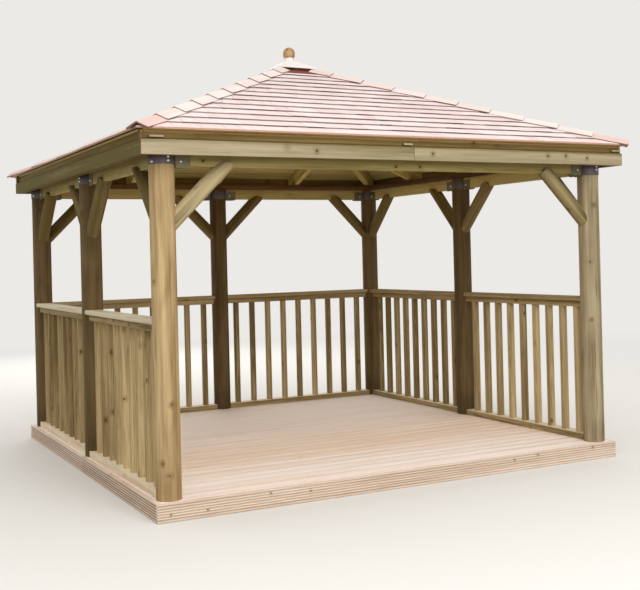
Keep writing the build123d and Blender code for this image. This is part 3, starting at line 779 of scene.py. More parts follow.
def skirt_profile(sizes, height):
    """Across the board's thickness and height: the outer face dips in half a cosine wave at
    each groove, and its upper and lower corners are quarter circles."""
    ease = sizes.timber_ease
    level = np.linspace(ease, height - ease, 87)[1:-1]
    centres = height / (sizes.skirt_grooves + 1) * np.arange(1, sizes.skirt_grooves + 1)
    near = np.clip(np.abs(level[:, None] - centres).min(1) / (sizes.groove_width / 2), 0, 1)
    face = sizes.skirt_thickness - sizes.groove_depth * np.cos(near * math.pi / 2)
    turn = np.linspace(0, math.pi / 2, 4)
    top = np.stack([np.cos(turn), np.sin(turn)], -1) * ease
    top += (sizes.skirt_thickness - ease, height - ease)
    foot = top[::-1] * (1, -1) + (0, height)
    outline = np.concatenate([foot, np.stack([face, level], -1), top, [[0, height], [0, 0]]])
    return outline[::-1] * (1, -1)


class GAZEBO_OT_posts(Maker):
    """Round logs, a little uneven, with drying checks and knots"""
    bl_idname = "gazebo.posts"
    bl_label = "Posts"

    def make(self, sizes):
        """A log's radius shrinks by waves round it, of two, three and five lobes that wander
        with height, and by one wave that climbs it. Its foot is darker, by a steep bell curve."""
        front = {"checks": 0.6, "tones": 0.9, "contrast": 0.85, "knots": "post", "knot_depth": 0.55}
        sunlit = timber("sunlit_post_timber", "sunlit", ring=0.010, knot=(0.7, 0.19, 0.011), **front)
        weathered = timber("weathered_post_timber", "weathered", ring=0.014, knot=(0.6, 0.19, 0.012),
                           **front)
        shaded = timber("post_timber", "shaded", contrast=0.6, ring=0.014, knot=(0.6, 0.17, 0.012),
                        tones=0.9)
        woods = {"front_left": sunlit, "front_right": weathered}
        chamfer, margin, wave, climbing_wave, foot = 0.003, 0.05, 0.0045, 0.002, 0.18
        for seed, (name, tone) in enumerate(POST_TONES.items()):
            low, high = box(f"{name}_post")
            logs = Timbers(sizes.seed + 30 + seed)
            random = logs.random
            height = np.concatenate([[low[2], low[2] + chamfer],
                                     np.linspace(low[2] + margin, high[2] - margin, 44),
                                     [high[2] - chamfer, high[2]]])
            turn, level = np.meshgrid(np.linspace(0, 2 * math.pi, 48, endpoint=False), height)
            swell = np.zeros_like(turn)
            for lobes in (2, 3, 5):
                start = lobes * turn + random.uniform(0, 6.3)
                swell += np.sin(start + 0.7 * np.sin(level * random.uniform(1, 3)))
            climb = np.sin(level * 9 + turn + random.uniform(0, 6))
            radius = sizes.post_radius * (1 - wave * (1 + swell / 3) - climbing_wave * (1 + climb))
            radius[(0, -1), :] -= chamfer
            ring = np.stack([np.cos(turn), np.sin(turn)], -1) * radius[..., None]
            place = np.concatenate([(low + high)[:2] / 2 + ring, level[..., None]], -1)
            grain = np.concatenate([level[..., None] + random.uniform(0, 40), ring], -1)
            cut = np.zeros_like(turn)
            cut[(0, -1), :] = 1
            tone = tone + 0.3 * np.exp(-((level - low[2]) / foot) ** 4)
            # The front-left post is painted darker towards +X, the side that faces into the gazebo: painted
            # shade.
            if name == "front_left":
                tone = tone + 0.18 * np.cos(turn)
            logs.surface(place, grain, tone, cut)
            logs.piece(f"{name}_log", woods.get(name, shaded), [f"{name}_post"], "post_timber", sharp=40)


class GAZEBO_OT_railings(Maker):
    """Slats between a sub-rail and a bottom rail, in six bays"""
    bl_idname = "gazebo.railings"
    bl_label = "Railings"

    def make(self, sizes):
        """The bottom rail is pale, apart from the outline points of its inner face."""
        wood = timber("railing_timber", "railing", contrast=0.9, ring=0.006, knot=(0.62, 0.08, 0.010),
                      tones=1.1, knots="slat", pale="foot")
        inner_face = np.repeat([0, 1, 0], (5, 4, 3))[None]
        cut = {"radius": sizes.post_radius + sizes.scribe_gap, "corner": sizes.timber_ease, "ease": 0.001,
               "pith": 0.05}
        half, count, tenon = sizes.slat_size / 2, sizes.slats, sizes.slat_tenon
        for seed, (bay, ends) in enumerate(RAIL_BAYS.items()):
            low, high = box(f"{bay}_railing")[:, 2]
            under, over = high - sizes.subrail_height, low + sizes.foot_height
            timbers = Timbers(sizes.seed + 50 + seed)
            timbers.rail(ends, sizes.subrail_inner, sizes.subrail_outer, under, high, tone=0.7, **cut)
            timbers.rail(ends, sizes.foot_inner, sizes.foot_outer, low, over, tone=0.25 + 0.55 * inner_face,
                         face=inner_face - 1.0, **cut)
            origin, along, outward, span = bay_line(*ends)
            place = (span * np.arange(1, count + 1) / (count + 1))[:, None]
            feet = origin + along * place + outward * sizes.slat_offset
            outline = rounded(np.full(count, half), half, sizes.timber_ease)
            tone = timbers.random.uniform(*RAIL_TONES.get(bay, (0.5, 0.95)), count)
            timbers.add(outline, feet, UP, outward, over - tenon, under + tenon, pith=0.04, tone=tone)
            timbers.piece(f"{bay}_railing_timbers", wood, [f"{bay}_railing"], "railing_timber")


class GAZEBO_OT_handrails(Maker):
    """Wide rounded boards on the railings, scribed to the posts"""
    bl_idname = "gazebo.handrails"
    bl_label = "Handrails"

    def make(self, sizes):
        wood = timber("handrail_timber", "handrail", contrast=0.7, knot=(0.5, 0.10, 0.010), tones=0.8)
        boards = Timbers(sizes.seed + 70)
        top = box("handrails")[1, 2]
        for bay, ends in RAIL_BAYS.items():
            boards.rail(ends, sizes.handrail_inner, sizes.handrail_outer, top - sizes.handrail_thickness,
                        top, sizes.post_radius + sizes.scribe_gap, sizes.handrail_ease, steps=4,
                        ease=0.0008, pith=0.06, tone=HANDRAIL_TONES[bay.split("_")[0]])
        boards.piece("handrail_boards", wood, ["handrails"], "handrail_timber")


class GAZEBO_OT_beams(Maker):
    """Beams between the brackets, with the flat top plate over them"""
    bl_idname = "gazebo.beams"
    bl_label = "Beams"

    def make(self, sizes):
        wood = timber("beam_timber", "beam", knot=(0.8, 0.12, 0.013), tones=0.8, knots="beam")
        sides = {"front": [FRONT_BAY]}
        for bay, ends in RAIL_BAYS.items():
            sides.setdefault(bay.split("_")[0], []).append(ends)
        half = sizes.beam_thickness / 2
        for seed, (side, bays) in enumerate(sides.items()):
            low, high = box(f"{side}_beam")[:, 2]
            timbers = Timbers(sizes.seed + 80 + seed)
            for ends in bays:
                timbers.rail(ends, half, half, low, high, sizes.bracket_radius + JOINT_GAP,
                             sizes.timber_ease, ease=0.001, pith=0.05, tone=BEAM_TONES[side])
            timbers.piece(f"{side}_beam_timbers", wood, [f"{side}_beam"], "beam_timber")

        low, high = box("top_plate")
        half = sizes.plate_width / 2
        right, back = OUTWARD["right"], OUTWARD["back"]
        inner = high[1] - 2 * half - SIDE_GAP
        timbers = Timbers(sizes.seed + 90)
        outline = rounded(half, (high[2] - low[2]) / 2, sizes.timber_ease)
        level = UP * (low[2] + high[2]) / 2
        for sign in (-1, 1):
            timbers.add(outline, level + sign * (high[1] - half) * back, right, back, low[0], high[0])
            timbers.add(outline, level + sign * (high[0] - half) * right, back, right, -inner, inner)
        # The top plate is painted dark: painted shade between the ceiling and the beams.
        plate = timber("shaded_plate_timber", "plate", knot=(0.6, 0.09, 0.012), tones=0.4)
        timbers.piece("top_plate_timbers", plate, ["top_plate"], "beam_timber")


class GAZEBO_OT_braces(Maker):
    """Log braces from posts to beams, cut as the solid ones are"""
    bl_idname = "gazebo.braces"
    bl_label = "Braces"

    def make(self, sizes):
        """The grain is a place measured up each brace and square to it, at 45 degrees. The part
        tells one brace of a side from another."""
        wood = timber("brace_timber", "brace", contrast=0.4, ring=0.009, knot=(0.25, 0.10, 0.009), ends="",
                      checks=0.5, tones=1.2)
        for side, outward in OUTWARD.items():
            along = np.cross(UP, outward)
            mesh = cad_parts[f"{side}_braces"].data.copy()
            weld(mesh)
            place = np.empty(len(mesh.vertices) * 3)
            mesh.vertices.foreach_get("co", place)
            place = place.reshape(-1, 3)
            run, depth = np.abs(place @ along), place @ outward
            part = np.sign(place @ along) * 2
            if side != "front":
                post = box("back_right_post").mean(0) @ np.abs(along)
                part = part + np.sign(run - post / 2)
                run = np.abs(run - post / 2)
            rise = (place[:, 2] - run) / math.sqrt(2)
            lean = (place[:, 2] + run) / math.sqrt(2)
            write(mesh, "grain", np.stack([rise + part * 2.7, lean - lean.mean(),
                                           depth - np.abs(depth).mean()], -1))
            tone = np.where(part < 0, 0.42, 0.76) if side == "front" else 1.0 + 0.1 * np.sin(part * 5.1)
            if side == "right":
                tone = np.where(part == -3, 0.85, tone)
            write(mesh, "tone", tone)
            show(f"{side}_log_braces", mesh, wood, [f"{side}_braces"], 30)


def weld(mesh):
    """Joins the loose triangles of a copied solid."""
    work = bmesh.new()
    work.from_mesh(mesh)
    bmesh.ops.remove_doubles(work, verts=work.verts, dist=1e-5)
    work.to_mesh(mesh)
    work.free()


class GAZEBO_OT_brackets(Maker):
    """Steel collars on the post heads, shoes that carry the beam ends, and domed bolts"""
    bl_idname = "gazebo.brackets"
    bl_label = "Brackets"

    def make(self, sizes):
        """A collar has a pair of bolts and a third beside them, at these depths under its rim."""
        pair, third = (0.018, 0.042), (0.048,)
        steel = metal("bracket_steel", "steel", "rust", 0.5, 14.0, 0.5, "shoe")
        zinc = metal("bolt_zinc", "bolt", "patina", 0.35, 60.0, 0.7)
        bays = [*RAIL_BAYS.values(), FRONT_BAY]
        metalwork, bolts = Timbers(sizes.seed + 100), Timbers(sizes.seed + 101)
        low, high = box("post_brackets")[:, 2]
        for name in POSTS:
            post = box(f"{name}_post").mean(0) * (1, 1, 0)
            add_collar(metalwork, sizes, post, low + sizes.collar_lift + COLLAR_LIFTS.get(name, 0.0), high)
            for other in [bay[bay[0] == name] for bay in bays if name in bay]:
                run = unit((box(f"{other}_post").mean(0) - post) * (1, 1, 0))
                add_shoe(metalwork, bolts, sizes, post, run, low, high)
            outward = [way for side, way in OUTWARD.items() if side in name]
            for way, depths, turn in zip(outward, (pair, third), (0.22, 0.55)):
                turned = unit(way + turn * np.cross(UP, way))
                heads = np.array([post + turned * (sizes.bracket_radius - SIDE_GAP) + UP * (high - depth)
                                  for depth in depths])
                add_bolts(bolts, sizes, heads, np.broadcast_to(turned, heads.shape))
        metalwork.piece("bracket_metalwork", steel, ["post_brackets"], "bracket_steel", sharp=40)
        bolts.piece("bracket_bolts", zinc, [], "bracket_steel", sharp=50)


def add_collar(metalwork, sizes, post, bottom, top):
    """A strip turned round the post: its section is an upright bar with rounded rims."""
    half = sizes.bracket_steel / 2
    outline = rounded(half, (top - bottom) / 2, 0.9 * half)[0]
    outline += (sizes.bracket_radius - half, (top + bottom) / 2)
    plan = np.pad(circle(48) * (1, -1), ((0, 0), (0, 1)))
    place = post + outline[:, :1] * plan[:, None] + outline[:, 1:] * UP
    metalwork.surface(place, place, loop=True)


def add_shoe(metalwork, bolts, sizes, post, run, low, high):
    """A tray from the collar: two upright cheeks, with a quarter circle at the lower outer
    corner, joined by a plate under the beam."""
    sideways = np.cross(UP, run)
    steel, corner = sizes.bracket_steel, sizes.shoe_corner
    near, far = sizes.bracket_radius - steel / 2, sizes.bracket_radius + sizes.shoe_length
    turn = np.linspace(0, math.pi / 2, 6)
    arc = np.stack([far - corner + corner * np.cos(turn), low + corner - corner * np.sin(turn)], -1)
    outline = np.concatenate([[[near, low], [near, high], [far, high]], arc]) * (1, -1)
    half = sizes.beam_thickness / 2 + SIDE_GAP
    for start in (-half - steel, half):
        metalwork.add(outline[None], post, sideways, run, start, start + steel, ease=0.0008, tone=1.0)
    plate = rounded(half + steel / 2, steel / 2, 0.001)
    metalwork.add(plate, post + UP * (box("front_beam")[0, 2] - steel / 2 - SIDE_GAP), run, sideways,
                  near, far - corner, ease=0.0008, tone=1.0)
    bolt_reach = 0.035
    sides = np.array([[-1], [1]]) * sideways
    heads = post + (near + bolt_reach) * run + (half + steel - SIDE_GAP) * sides + UP * (low + high) / 2
    add_bolts(bolts, sizes, heads, sides)


def add_bolts(bolts, sizes, heads, axis):
    """Domed heads: the radius falls as a cosine while the height rises as a sine."""
    lift = (np.array([0, 0.25, 0.6, 0.85, 1.0]) * math.pi / 2)[:, None, None]
    across = np.cross(axis, UP)
    third = np.cross(axis, across)
    plan = circle(10)
    ring = (across[:, None] * plan[:, :1] + third[:, None] * plan[:, 1:]) * sizes.bolt_radius
    place = (heads[:, None, None] + ring[:, None] * np.maximum(np.cos(lift), 0.05)
             + axis[:, None, None] * 0.6 * sizes.bolt_radius * np.sin(lift))
    bolts.surface(place, place)


class GAZEBO_OT_shingles(Maker):
    """Overlapping courses of separate shingles on the four slopes"""
    bl_idname = "gazebo.shingles"
    bl_label = "Shingles"

    def make(self, sizes):
        """Rows hold each shingle's butt, left and right edge and layer: 0 in the field, 1 in the
        lowest course, 2 in the starter course under that."""
        wood = cedar("cedar_shingle", "shingle_light", "shingle_dark", 0.7)
        gap, narrowest, past_hip, bond = 0.0010, 0.012, 0.01, 0.06
        for seed, side in enumerate(OUTWARD):
            slope = Slope(sizes, side)
            courses = Timbers(sizes.seed + 100 + seed)
            random = courses.random
            rows = []
            for butt in np.arange(slope.run, sizes.top_run * slope.share, -sizes.exposure * slope.share):
                reach = slope.half * butt / slope.run
                widths = random.uniform(0.09, 0.19, 60)
                edges = -reach + random.uniform(-0.1, 0) + np.concatenate([[0], np.cumsum(widths)])
                edges = np.append(edges[edges < reach + past_hip], reach + past_hip)
                left, right = edges[:-1] + gap, edges[1:] - gap
                lowest = not rows
                rows.append(np.stack(np.broadcast_arrays(butt, left, right, float(lowest)), -1))
                if lowest:
                    rows.append(rows[0] + (0, bond, bond, 1))
            rows = np.concatenate(rows)
            lay_shingles(courses, rows[rows[:, 2] - rows[:, 1] > narrowest], sizes, slope)
            courses.piece(f"{side}_shingle_courses", wood, [f"{side}_shingles"], "cedar_shingle", sharp=20)


def lay_shingles(courses, rows, sizes, slope):
    """Each shingle is a wedge of four rings from its butt up the slope. Its top lies on the
    line from its butt to a step under the next butt, and its sides stop at the hips."""
    random = courses.random
    overlap, edge, thinnest = 2.1, 0.0012, 0.0015
    starter_back, starter_drop, starter_thick, lowest_thick = 0.002, 0.0065, 0.0055, 0.006
    pitch, top_run = sizes.exposure * slope.share, sizes.top_run * slope.share
    butt, left, right, layer = rows.T
    count = len(butt)
    starter, field = layer == 2, layer == 0
    slip = np.where(field, 0, random.uniform(0, 0.0015, count))
    slip = np.where(field, random.uniform(-0.003, 0.003, count), slip)
    low = butt - np.where(starter, starter_back, slip)
    head = np.maximum(butt - overlap * pitch, top_run)
    runs = np.stack([low, low - CUT_DEPTHS[0], low - CUT_DEPTHS[1], head], 1)
    along = runs - head[:, None]
    drop = sizes.shingle_step * (butt[:, None] - runs) / pitch
    lift = (random.uniform(-0.0012, 0.0006, count) * field)[:, None]
    shrink = np.array([edge, 0, 0, 0])
    top = roof_height(sizes, runs, slope.run) - np.maximum(drop, 0) + lift * along / pitch / 2
    top = top - np.where(starter, starter_drop, 0)[:, None] - shrink
    thick = np.where(field, sizes.shingle_step - sizes.butt_gap, lowest_thick)
    thick = np.where(starter, starter_thick, thick)[:, None]
    base = top - np.maximum(thick * along / (low - head)[:, None], thinnest) + shrink
    limit = slope.half * runs / slope.run - JOINT_GAP
    left = np.clip(left[:, None] + shrink, -limit, limit)
    right = np.clip(right[:, None] - shrink, -limit, limit)
    side = np.stack([left, right, right, right - edge, left + edge, left], -1)
    level = np.stack([base, base, top - edge, top, top, top - edge], -1)
    place = runs[..., None, None] * slope.outward - side[..., None] * slope.eave + level[..., None] * UP
    shift = random.uniform(0, 40, (count, 1, 1))
    heart = random.uniform(-0.5, 0.5, (count, 1, 1))
    grain = np.stack(np.broadcast_arrays(shift + butt[:, None, None] - runs[..., None], side + heart,
                                         level - level[:, :1, :1] + heart * 2), -1)
    # Field shingles carry a painted shadow at the foot of their butts.
    foot = np.array([[1, 1, 0.5, 0.3, 0.3, 0.5], [1, 1, 0.2, 0, 0, 0.2], [0] * 6, [0] * 6], float)
    fresh = np.array([-0.5, -0.4, 0, 0])[:, None]
    courses.surface(place, grain, random.uniform(0, 1, (count, 1, 1)),
                    np.where(field[:, None, None], foot, fresh))


class GAZEBO_OT_hip_caps(Maker):
    """Pairs of capping boards that overlap down the four hips"""
    bl_idname = "gazebo.hip_caps"
    bl_label = "Hip caps"

    def make(self, sizes):
        wood = cedar("cedar_capping", "cap_light", "cap_dark", 1.0)
        boards = Timbers(sizes.seed + 120)
        hip_run = hip_reach(sizes)
        under = box("roof_cap")[1, 0] * hip_run / Slope(sizes, "right").run
        for signs, plan, down in hips(sizes):
            for side in ("right" if signs[0] > 0 else "left", "back" if signs[1] > 0 else "front"):
                slope = Slope(sizes, side)
                normal = unit(slope.outward * sizes.roof_rise + UP * slope.run)
                across = np.cross(normal, down)
                across = -across if across[2] > 0 else across
                lean = across * sizes.cap_width - normal * sizes.cap_fall
                lay_caps(boards, sizes, plan, hip_run, under, lean, normal)
        boards.piece("hip_capping_boards", wood, ["hip_caps"], "cedar_capping", sharp=20)


def lay_caps(boards, sizes, plan, hip_run, under, lean, normal):
    """Each board is a plank from its butt up the hip to just under the next one: its ridge
    edge stands over the hip, and its width leans down to the shingles."""
    random = boards.random
    overlap, hidden, slip, cut, edge = 1.08, 0.03, 0.002, 0.008, 0.0015
    butts = np.arange(hip_run, under, -sizes.cap_exposure)
    count = len(butts)
    reach = np.maximum(butts - overlap * sizes.cap_exposure, under - hidden)
    low = butts - random.uniform(0, slip, count)
    runs = np.stack([low, low - CUT_DEPTHS[0], low - cut, reach], 1)
    past = (butts[:, None] - runs) / sizes.cap_exposure
    rise = sizes.cap_butt - (sizes.cap_butt - sizes.cap_head) * past
    ridge = runs[..., None] * plan + (roof_height(sizes, runs, hip_run) + rise)[..., None] * UP
    flat = unit(lean)
    face = unit(normal - flat * (normal @ flat))
    width, thick = np.linalg.norm(lean), sizes.cap_thickness
    shrink = np.array([0.0012, 0, 0, 0])[:, None]
    across = np.array([0.0, 0.0, width, width, width - edge])
    above = np.array([0.0, -thick, -thick, -edge, 0.0])
    across = across - np.where(across > 0, shrink, 0)
    above = np.where(above > -thick, above - shrink, above)
    place = ridge[:, :, None] + across[..., None] * flat + above[..., None] * face
    # A painted shadow along each capping board's underside and outer edge, strongest at its butt.
    line = np.outer((1, 1, 0.8, 0.8), (0, 1, 1, 0.8, 0))
    if np.cross(place[0, 0, 1] - place[0, 0, 0], place[0, 0, 2] - place[0, 0, 1]) @ plan > 0:
        place = place[:, :, ::-1]
        line, across, above = line[:, ::-1], across[:, ::-1], above[:, ::-1]
    shift = random.uniform(0, 40, (count, 1, 1))
    grain = np.stack(np.broadcast_arrays(shift + (butts[:, None] - runs)[..., None], across + shift,
                                         above + shift), -1)
    tone = random.uniform(0, 0.6, (count, 1, 1))
    tone[0] = 1
    boards.surface(place, grain, tone, line)


class GAZEBO_OT_ceiling(Maker):
    """Roof boards under the shingles, mitred at the hips"""
    bl_idname = "gazebo.ceiling"
    bl_label = "Ceiling"

    def make(self, sizes):
        wood = timber("ceiling_timber", "ceiling", knot=(0.7, 0.12, 0.011), tones=0.8)
        boards = Timbers(sizes.seed + 130)
        drop = sizes.shingle_build + sizes.board_thickness / 2
        for side in OUTWARD:
            slope = Slope(sizes, side)
            outer, inner = slope.run - sizes.overhang, sizes.king_size / 2 + SIDE_GAP
            count = int(round((outer - inner) / sizes.board_pitch))
            edges = np.linspace(outer, inner, count + 1)
            middle = (edges[:-1] + edges[1:]) / 2
            origin = (middle[:, None] * slope.outward
                      + (roof_height(sizes, middle, slope.run) - drop)[:, None] * UP)
            outline = rounded((edges[:-1] - edges[1:]) / 2 / slope.fall - JOINT_GAP,
                              np.full(count, sizes.board_thickness * slope.fall / 2), 0.003)
            points = drawn(outline, origin, slope.eave, slope.down)
            limit = slope.half / slope.run * (points @ slope.outward) - JOINT_GAP
            boards.add(outline, origin, slope.eave, slope.down, -limit, limit, ease=0.0006, pith=0.08)
        boards.piece("ceiling_boards", wood, ["roof_boards"], "ceiling_timber")


class GAZEBO_OT_rafters(Maker):
    """Rafters, hip rafters with their king block, and the rim boards"""
    bl_idname = "gazebo.rafters"
    bl_label = "Rafters"

    def make(self, sizes):
        wood = timber("rafter_timber", "ceiling", knot=(0.5, 0.08, 0.013), tones=0.6)
        drop = sizes.shingle_build + sizes.board_thickness + SEAT_GAP
        show_rafters(sizes, wood, drop)
        show_hip_rafters(sizes, wood, drop)
        show_rims(sizes, drop)


def show_rafters(sizes, wood, drop):
    """Three on each side, from the king block or the hip rafters to the rim boards."""
    half, depth = sizes.rafter_width / 2, sizes.rafter_depth
    rafters = Timbers(sizes.seed + 140)
    for side in OUTWARD:
        slope = Slope(sizes, side)
        span = box("back_right_post").mean(0) @ np.abs(slope.eave)
        outer = slope.run - sizes.overhang - sizes.rim_thickness - SEAT_GAP
        for share in (-0.5, 0, 0.5):
            inner = sizes.king_size / 2 + SIDE_GAP
            if share:
                hip_half = (sizes.hip_width / 2 + SIDE_GAP) * hip_reach(sizes) / slope.half
                inner = (abs(share) * span + half) * slope.run / slope.half + hip_half
            origin = slope.eave * share * span + UP * (roof_height(sizes, 0, 1) - drop - depth / 2)
            outline = rounded(half, depth * slope.fall / 2, sizes.timber_ease)
            base = drawn(outline, origin, slope.down, slope.eave) @ slope.outward
            rafters.add(outline, origin, slope.down, slope.eave, (inner - base) / slope.fall,
                        (outer - base) / slope.fall, pith=0.05)
    rafters.piece("rafter_timbers", wood, ["rafters"], "rafter_timber")


def show_hip_rafters(sizes, wood, drop):
    """Each point of a hip rafter's outline runs from the nearer face of the king block to
    the nearer of the two rim boards."""
    timbers = Timbers(sizes.seed + 150)
    half, depth, hip_run = sizes.king_size / 2, sizes.rafter_depth, hip_reach(sizes)
    fall = hip_run / math.hypot(hip_run, sizes.roof_rise)
    rim = np.array([Slope(sizes, side).run for side in ("right", "front")])
    rim = rim - sizes.overhang - sizes.rim_thickness - SIDE_GAP
    origin = UP * (roof_height(sizes, 0, 1) - drop - depth / 2 - sizes.hip_drop)
    outline = rounded(sizes.hip_width / 2, (depth - 2 * sizes.hip_drop) * fall / 2, sizes.timber_ease)
    for signs, plan, down in hips(sizes):
        sideways = np.cross(UP, plan)
        points = drawn(outline, origin, down, sideways)[..., :2] * signs
        outer = ((rim - points) / np.abs(down[:2])).min(-1)
        inner = ((half + SIDE_GAP - points) / np.abs(down[:2])).max(-1)
        timbers.add(outline, origin, down, sideways, inner, outer, ease=0.0008, pith=0.04)
    top = roof_height(sizes, half, Slope(sizes, "right").run) - sizes.shingle_build - SEAT_GAP
    timbers.add(rounded(half, half, sizes.timber_ease), (0, 0, 0), UP, OUTWARD["right"],
                top - sizes.king_height, top, ease=0.003, pith=0.01)
    timbers.piece("hip_rafter_timbers", wood, ["hip_rafters"], "rafter_timber")


def show_rims(sizes, drop):
    """The outline's points are two inside, then five down the outer face: fresh wood under
    the shingles in front, then weathered wood, then a painted shadow line just over the
    fascia, dark down to the foot. The front and back boards have ears over the ends of the
    side fascias."""
    wood = timber("rim_timber", "rim", knot=(0.5, 0.09, 0.011), pale="fresh")
    # The two lowest points of the outer face are painted dark: a painted shadow line over the fascia.
    painted_shadow = np.array([0, 0, 0, 0, 0, 2.5, 2.5])[None]
    timbers = Timbers(sizes.seed + 160)
    low = box("rim_boards")[0, 2]
    fascia_top = box("front_fascia")[1, 2] - sizes.fascia_gap
    above = fascia_top + SIDE_GAP
    for side in OUTWARD:
        slope = Slope(sizes, side)
        outer = slope.run - sizes.overhang
        inner = outer - sizes.rim_thickness
        level = [roof_height(sizes, run, slope.run) - drop - SIDE_GAP for run in (outer, inner)]
        reach = slope.half - sizes.overhang
        end = reach - sizes.rim_thickness - SIDE_GAP
        spans = [(low, -end, end)]
        # Boards other than the front one are painted darker: painted shade.
        tone, face = 0.8, 0.0
        if side in ("front", "back"):
            ear = reach + sizes.fascia_thickness + SEAT_GAP
            spans = [(low, -reach, reach), (above, reach + SEAT_GAP, ear),
                     (above, -ear, -reach - SEAT_GAP)]
        if side == "front":
            tone, face = 0.5, np.array([0, 0, -0.8, 0, 0, 0, 0])
        for foot, start, end in spans:
            heights = (level[0], level[0] - sizes.rim_glow, above + sizes.rim_dry,
                       above + sizes.rim_damp, foot)
            outline = [[inner, -foot], [inner, -level[1]]] + [[outer, -height] for height in heights]
            timbers.add(np.array([outline]), (0, 0, 0), slope.eave, slope.outward, start, end,
                        ease=0.001, pith=0.05, tone=tone + painted_shadow, face=face)
    timbers.piece("rim_board_timbers", wood, ["rim_boards"], "rim_timber")


class GAZEBO_OT_fascias(Maker):
    """Pale boards on the rim, the front and back ones in two lengths"""
    bl_idname = "gazebo.fascias"
    bl_label = "Fascias"

    def make(self, sizes):
        """The outline has one point more, on the outer face, where the painted shade along its top ends."""
        wood = timber("fascia_timber", "fascia", contrast=0.6, knot=(1.4, 0.16, 0.011), tones=0.6,
                      knots="fascia")
        # The outline's upper corners are painted darker: painted shade under the shingles' overhang.
        top_shade_tone = np.repeat([0, 0.8, 0], (6, 6, 1))[None]
        thick, joint = sizes.fascia_thickness / 2, sizes.fascia_joint
        for seed, (side, outward) in enumerate(OUTWARD.items()):
            low, high = box(f"{side}_fascia")
            eave = np.cross(UP, outward)
            half = abs(eave @ (high - low)) / 2
            tall = (high[2] - low[2] - sizes.fascia_gap) / 2
            centre = outward * abs(outward @ (low + high) / 2) + UP * (low[2] + tall)
            outline = np.concatenate([rounded(thick, tall, sizes.fascia_ease),
                                      [[[thick, sizes.fascia_foot - tall]]]], 1)
            boards = Timbers(sizes.seed + 170 + seed)
            spans = [(-half, half)]
            tones = [FASCIA_SHADE_TONES.get(side, PLAIN_TONE)] * 2
            if side in ("front", "back"):
                spans = [(-half, joint - SIDE_GAP), (joint + SIDE_GAP, half)]
            if side == "front":
                tones[0] = FRONT_LEFT_TONES
            for (start, end), tone in zip(spans, tones):
                boards.add(outline, centre, eave, outward, start, end, pith=0.07, tone=tone + top_shade_tone)
            if side == "front":
                packer = rounded(thick - 0.001, sizes.packer_height / 2, 0.0015)
                level = UP * (tall + sizes.fascia_gap + sizes.packer_height / 2 + SEAT_GAP)
                for start, end in PACKERS:
                    boards.add(packer, centre + level, eave, outward, start, end, tone=0.0)
            boards.piece(f"{side}_fascia_boards", wood, [f"{side}_fascia"], "fascia_timber")


class GAZEBO_OT_finial(Maker):
    """Turned ball on the metal cap"""
    bl_idname = "gazebo.finial"
    bl_label = "Finial and cap"

    def make(self, sizes):
        """The ball's radius at each height is a circle's above the middle, and below it an
        arc that draws in to the flat foot."""
        wood = timber("finial_timber", "ball", contrast=1.2, ring=0.012, knot=(3.0, 2.0, 0.011), ends="",
                      tones=0.0, checks=0.4)
        low, high = box("finial")
        radius = (high[0] - low[0]) / 2
        centre = high[2] - radius
        lowest, highest = -0.92 * math.acos(sizes.ball_foot / radius), 0.985 * math.pi / 2
        angle = np.linspace(lowest, highest, 30)
        level = centre + radius * np.sin(angle)
        squeeze = (centre - low[2]) / (centre - level[0])
        level = np.where(angle < 0, centre + (level - centre) * squeeze, level)
        ring = circle(48) * (radius * np.cos(angle))[:, None, None]
        place = np.concatenate([ring, np.broadcast_to(level[:, None, None], (*ring.shape[:2], 1))], -1)
        ball = Timbers(sizes.seed)
        ball.surface(place, place[..., [2, 0, 1]] + (5.0, 0.0, 0.0), tone=0.5)
        ball.piece("finial_ball", wood, ["finial"], "finial_timber", sharp=50)

        strips = Timbers(sizes.seed + 180)
        top, hidden_edge = sizes.top_run, 0.13
        for side in OUTWARD:
            slope = Slope(sizes, side)
            runs = np.array([top, top - CUT_DEPTHS[0], top - CUT_DEPTHS[1], hidden_edge]) * slope.share
            add_strip(strips, sizes, slope, runs)
        # The strip under the cap is partly sheltered fresh wood and partly painted shade; its dark grain is
        # painted shadow.
        shelter_and_shade = cedar("sheltered_shaded_cedar", "shingle_deep", "shingle_line", 0.6)
        strips.piece("shaded_sheltered_strips", shelter_and_shade, [], "cedar_shingle", sharp=20)
        # The roof cap's near-white zinc is partly a painted highlight.
        dress("roof_cap", metal("cap_metal", "sheet", "patina", 0.45, 9.0, 0.15))


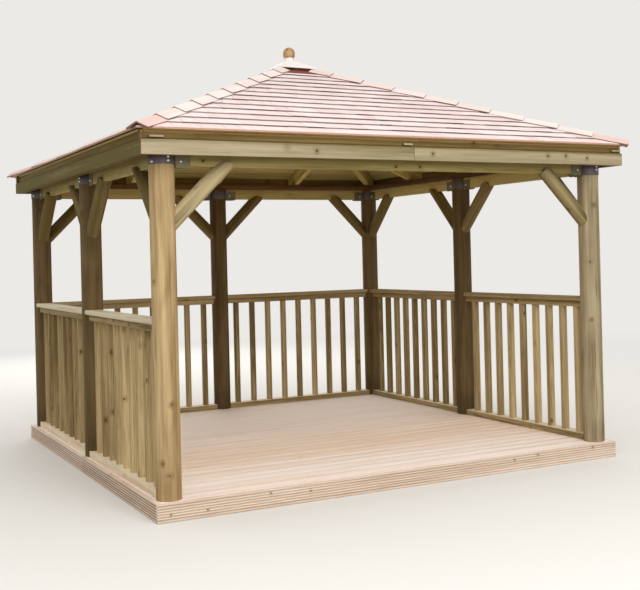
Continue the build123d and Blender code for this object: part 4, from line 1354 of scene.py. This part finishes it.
def add_strip(strips, sizes, slope, runs):
    """A board along the top of a slope, mitred at the hips, that runs in under the cap."""
    thick, sink = 0.007, 0.001
    side = (slope.half * runs / slope.run - JOINT_GAP)[:, None] * np.array([-1, 1, 1, -1])
    level = roof_height(sizes, runs, slope.run)[:, None] - np.array([thick, thick, 0, 0]) - sink
    place = runs[:, None, None] * slope.outward - side[..., None] * slope.eave + level[..., None] * UP
    grain = np.stack(np.broadcast_arrays(-runs[:, None], side + slope.run, level), -1)
    cut = np.array([[1, 1, 0, 0], [1, 1, 0, 0], [0] * 4, [0] * 4])
    strips.surface(place, grain, tone=0.5, cut=cut)


MAKERS = (
    GAZEBO_OT_stage, GAZEBO_OT_deck, GAZEBO_OT_skirts, GAZEBO_OT_posts, GAZEBO_OT_railings,
    GAZEBO_OT_handrails, GAZEBO_OT_beams, GAZEBO_OT_braces, GAZEBO_OT_brackets, GAZEBO_OT_ceiling,
    GAZEBO_OT_rafters, GAZEBO_OT_fascias, GAZEBO_OT_shingles, GAZEBO_OT_hip_caps, GAZEBO_OT_finial,
)


class GAZEBO_PT_panel(bpy.types.Panel):
    """Lists the makers, sizes and colours"""
    bl_idname = "GAZEBO_PT_panel"
    bl_label = "Garden gazebo"
    bl_space_type = "VIEW_3D"
    bl_region_type = "UI"
    bl_category = "Gazebo"

    def draw(self, context):
        for maker in MAKERS:
            self.layout.operator(maker.bl_idname)
        for group in (context.scene.gazebo_sizes, context.scene.gazebo_colours):
            column = self.layout.column()
            for key in group.bl_rna.properties.keys():
                if key not in ("rna_type", "name"):
                    column.prop(group, key)


def register():
    for item in (GazeboSizes, GazeboColours, *MAKERS, GAZEBO_PT_panel):
        bpy.utils.register_class(item)
    bpy.types.Scene.gazebo_sizes = bpy.props.PointerProperty(type=GazeboSizes)
    bpy.types.Scene.gazebo_colours = bpy.props.PointerProperty(type=GazeboColours)


def unregister():
    del bpy.types.Scene.gazebo_colours
    del bpy.types.Scene.gazebo_sizes
    for item in (GAZEBO_PT_panel, *reversed(MAKERS), GazeboColours, GazeboSizes):
        bpy.utils.unregister_class(item)


def main():
    register()
    for maker in MAKERS:
        getattr(bpy.ops.gazebo, maker.bl_idname.split(".")[1])()
    bpy.context.view_layer.update()


if __name__ == "__main__":
    main()
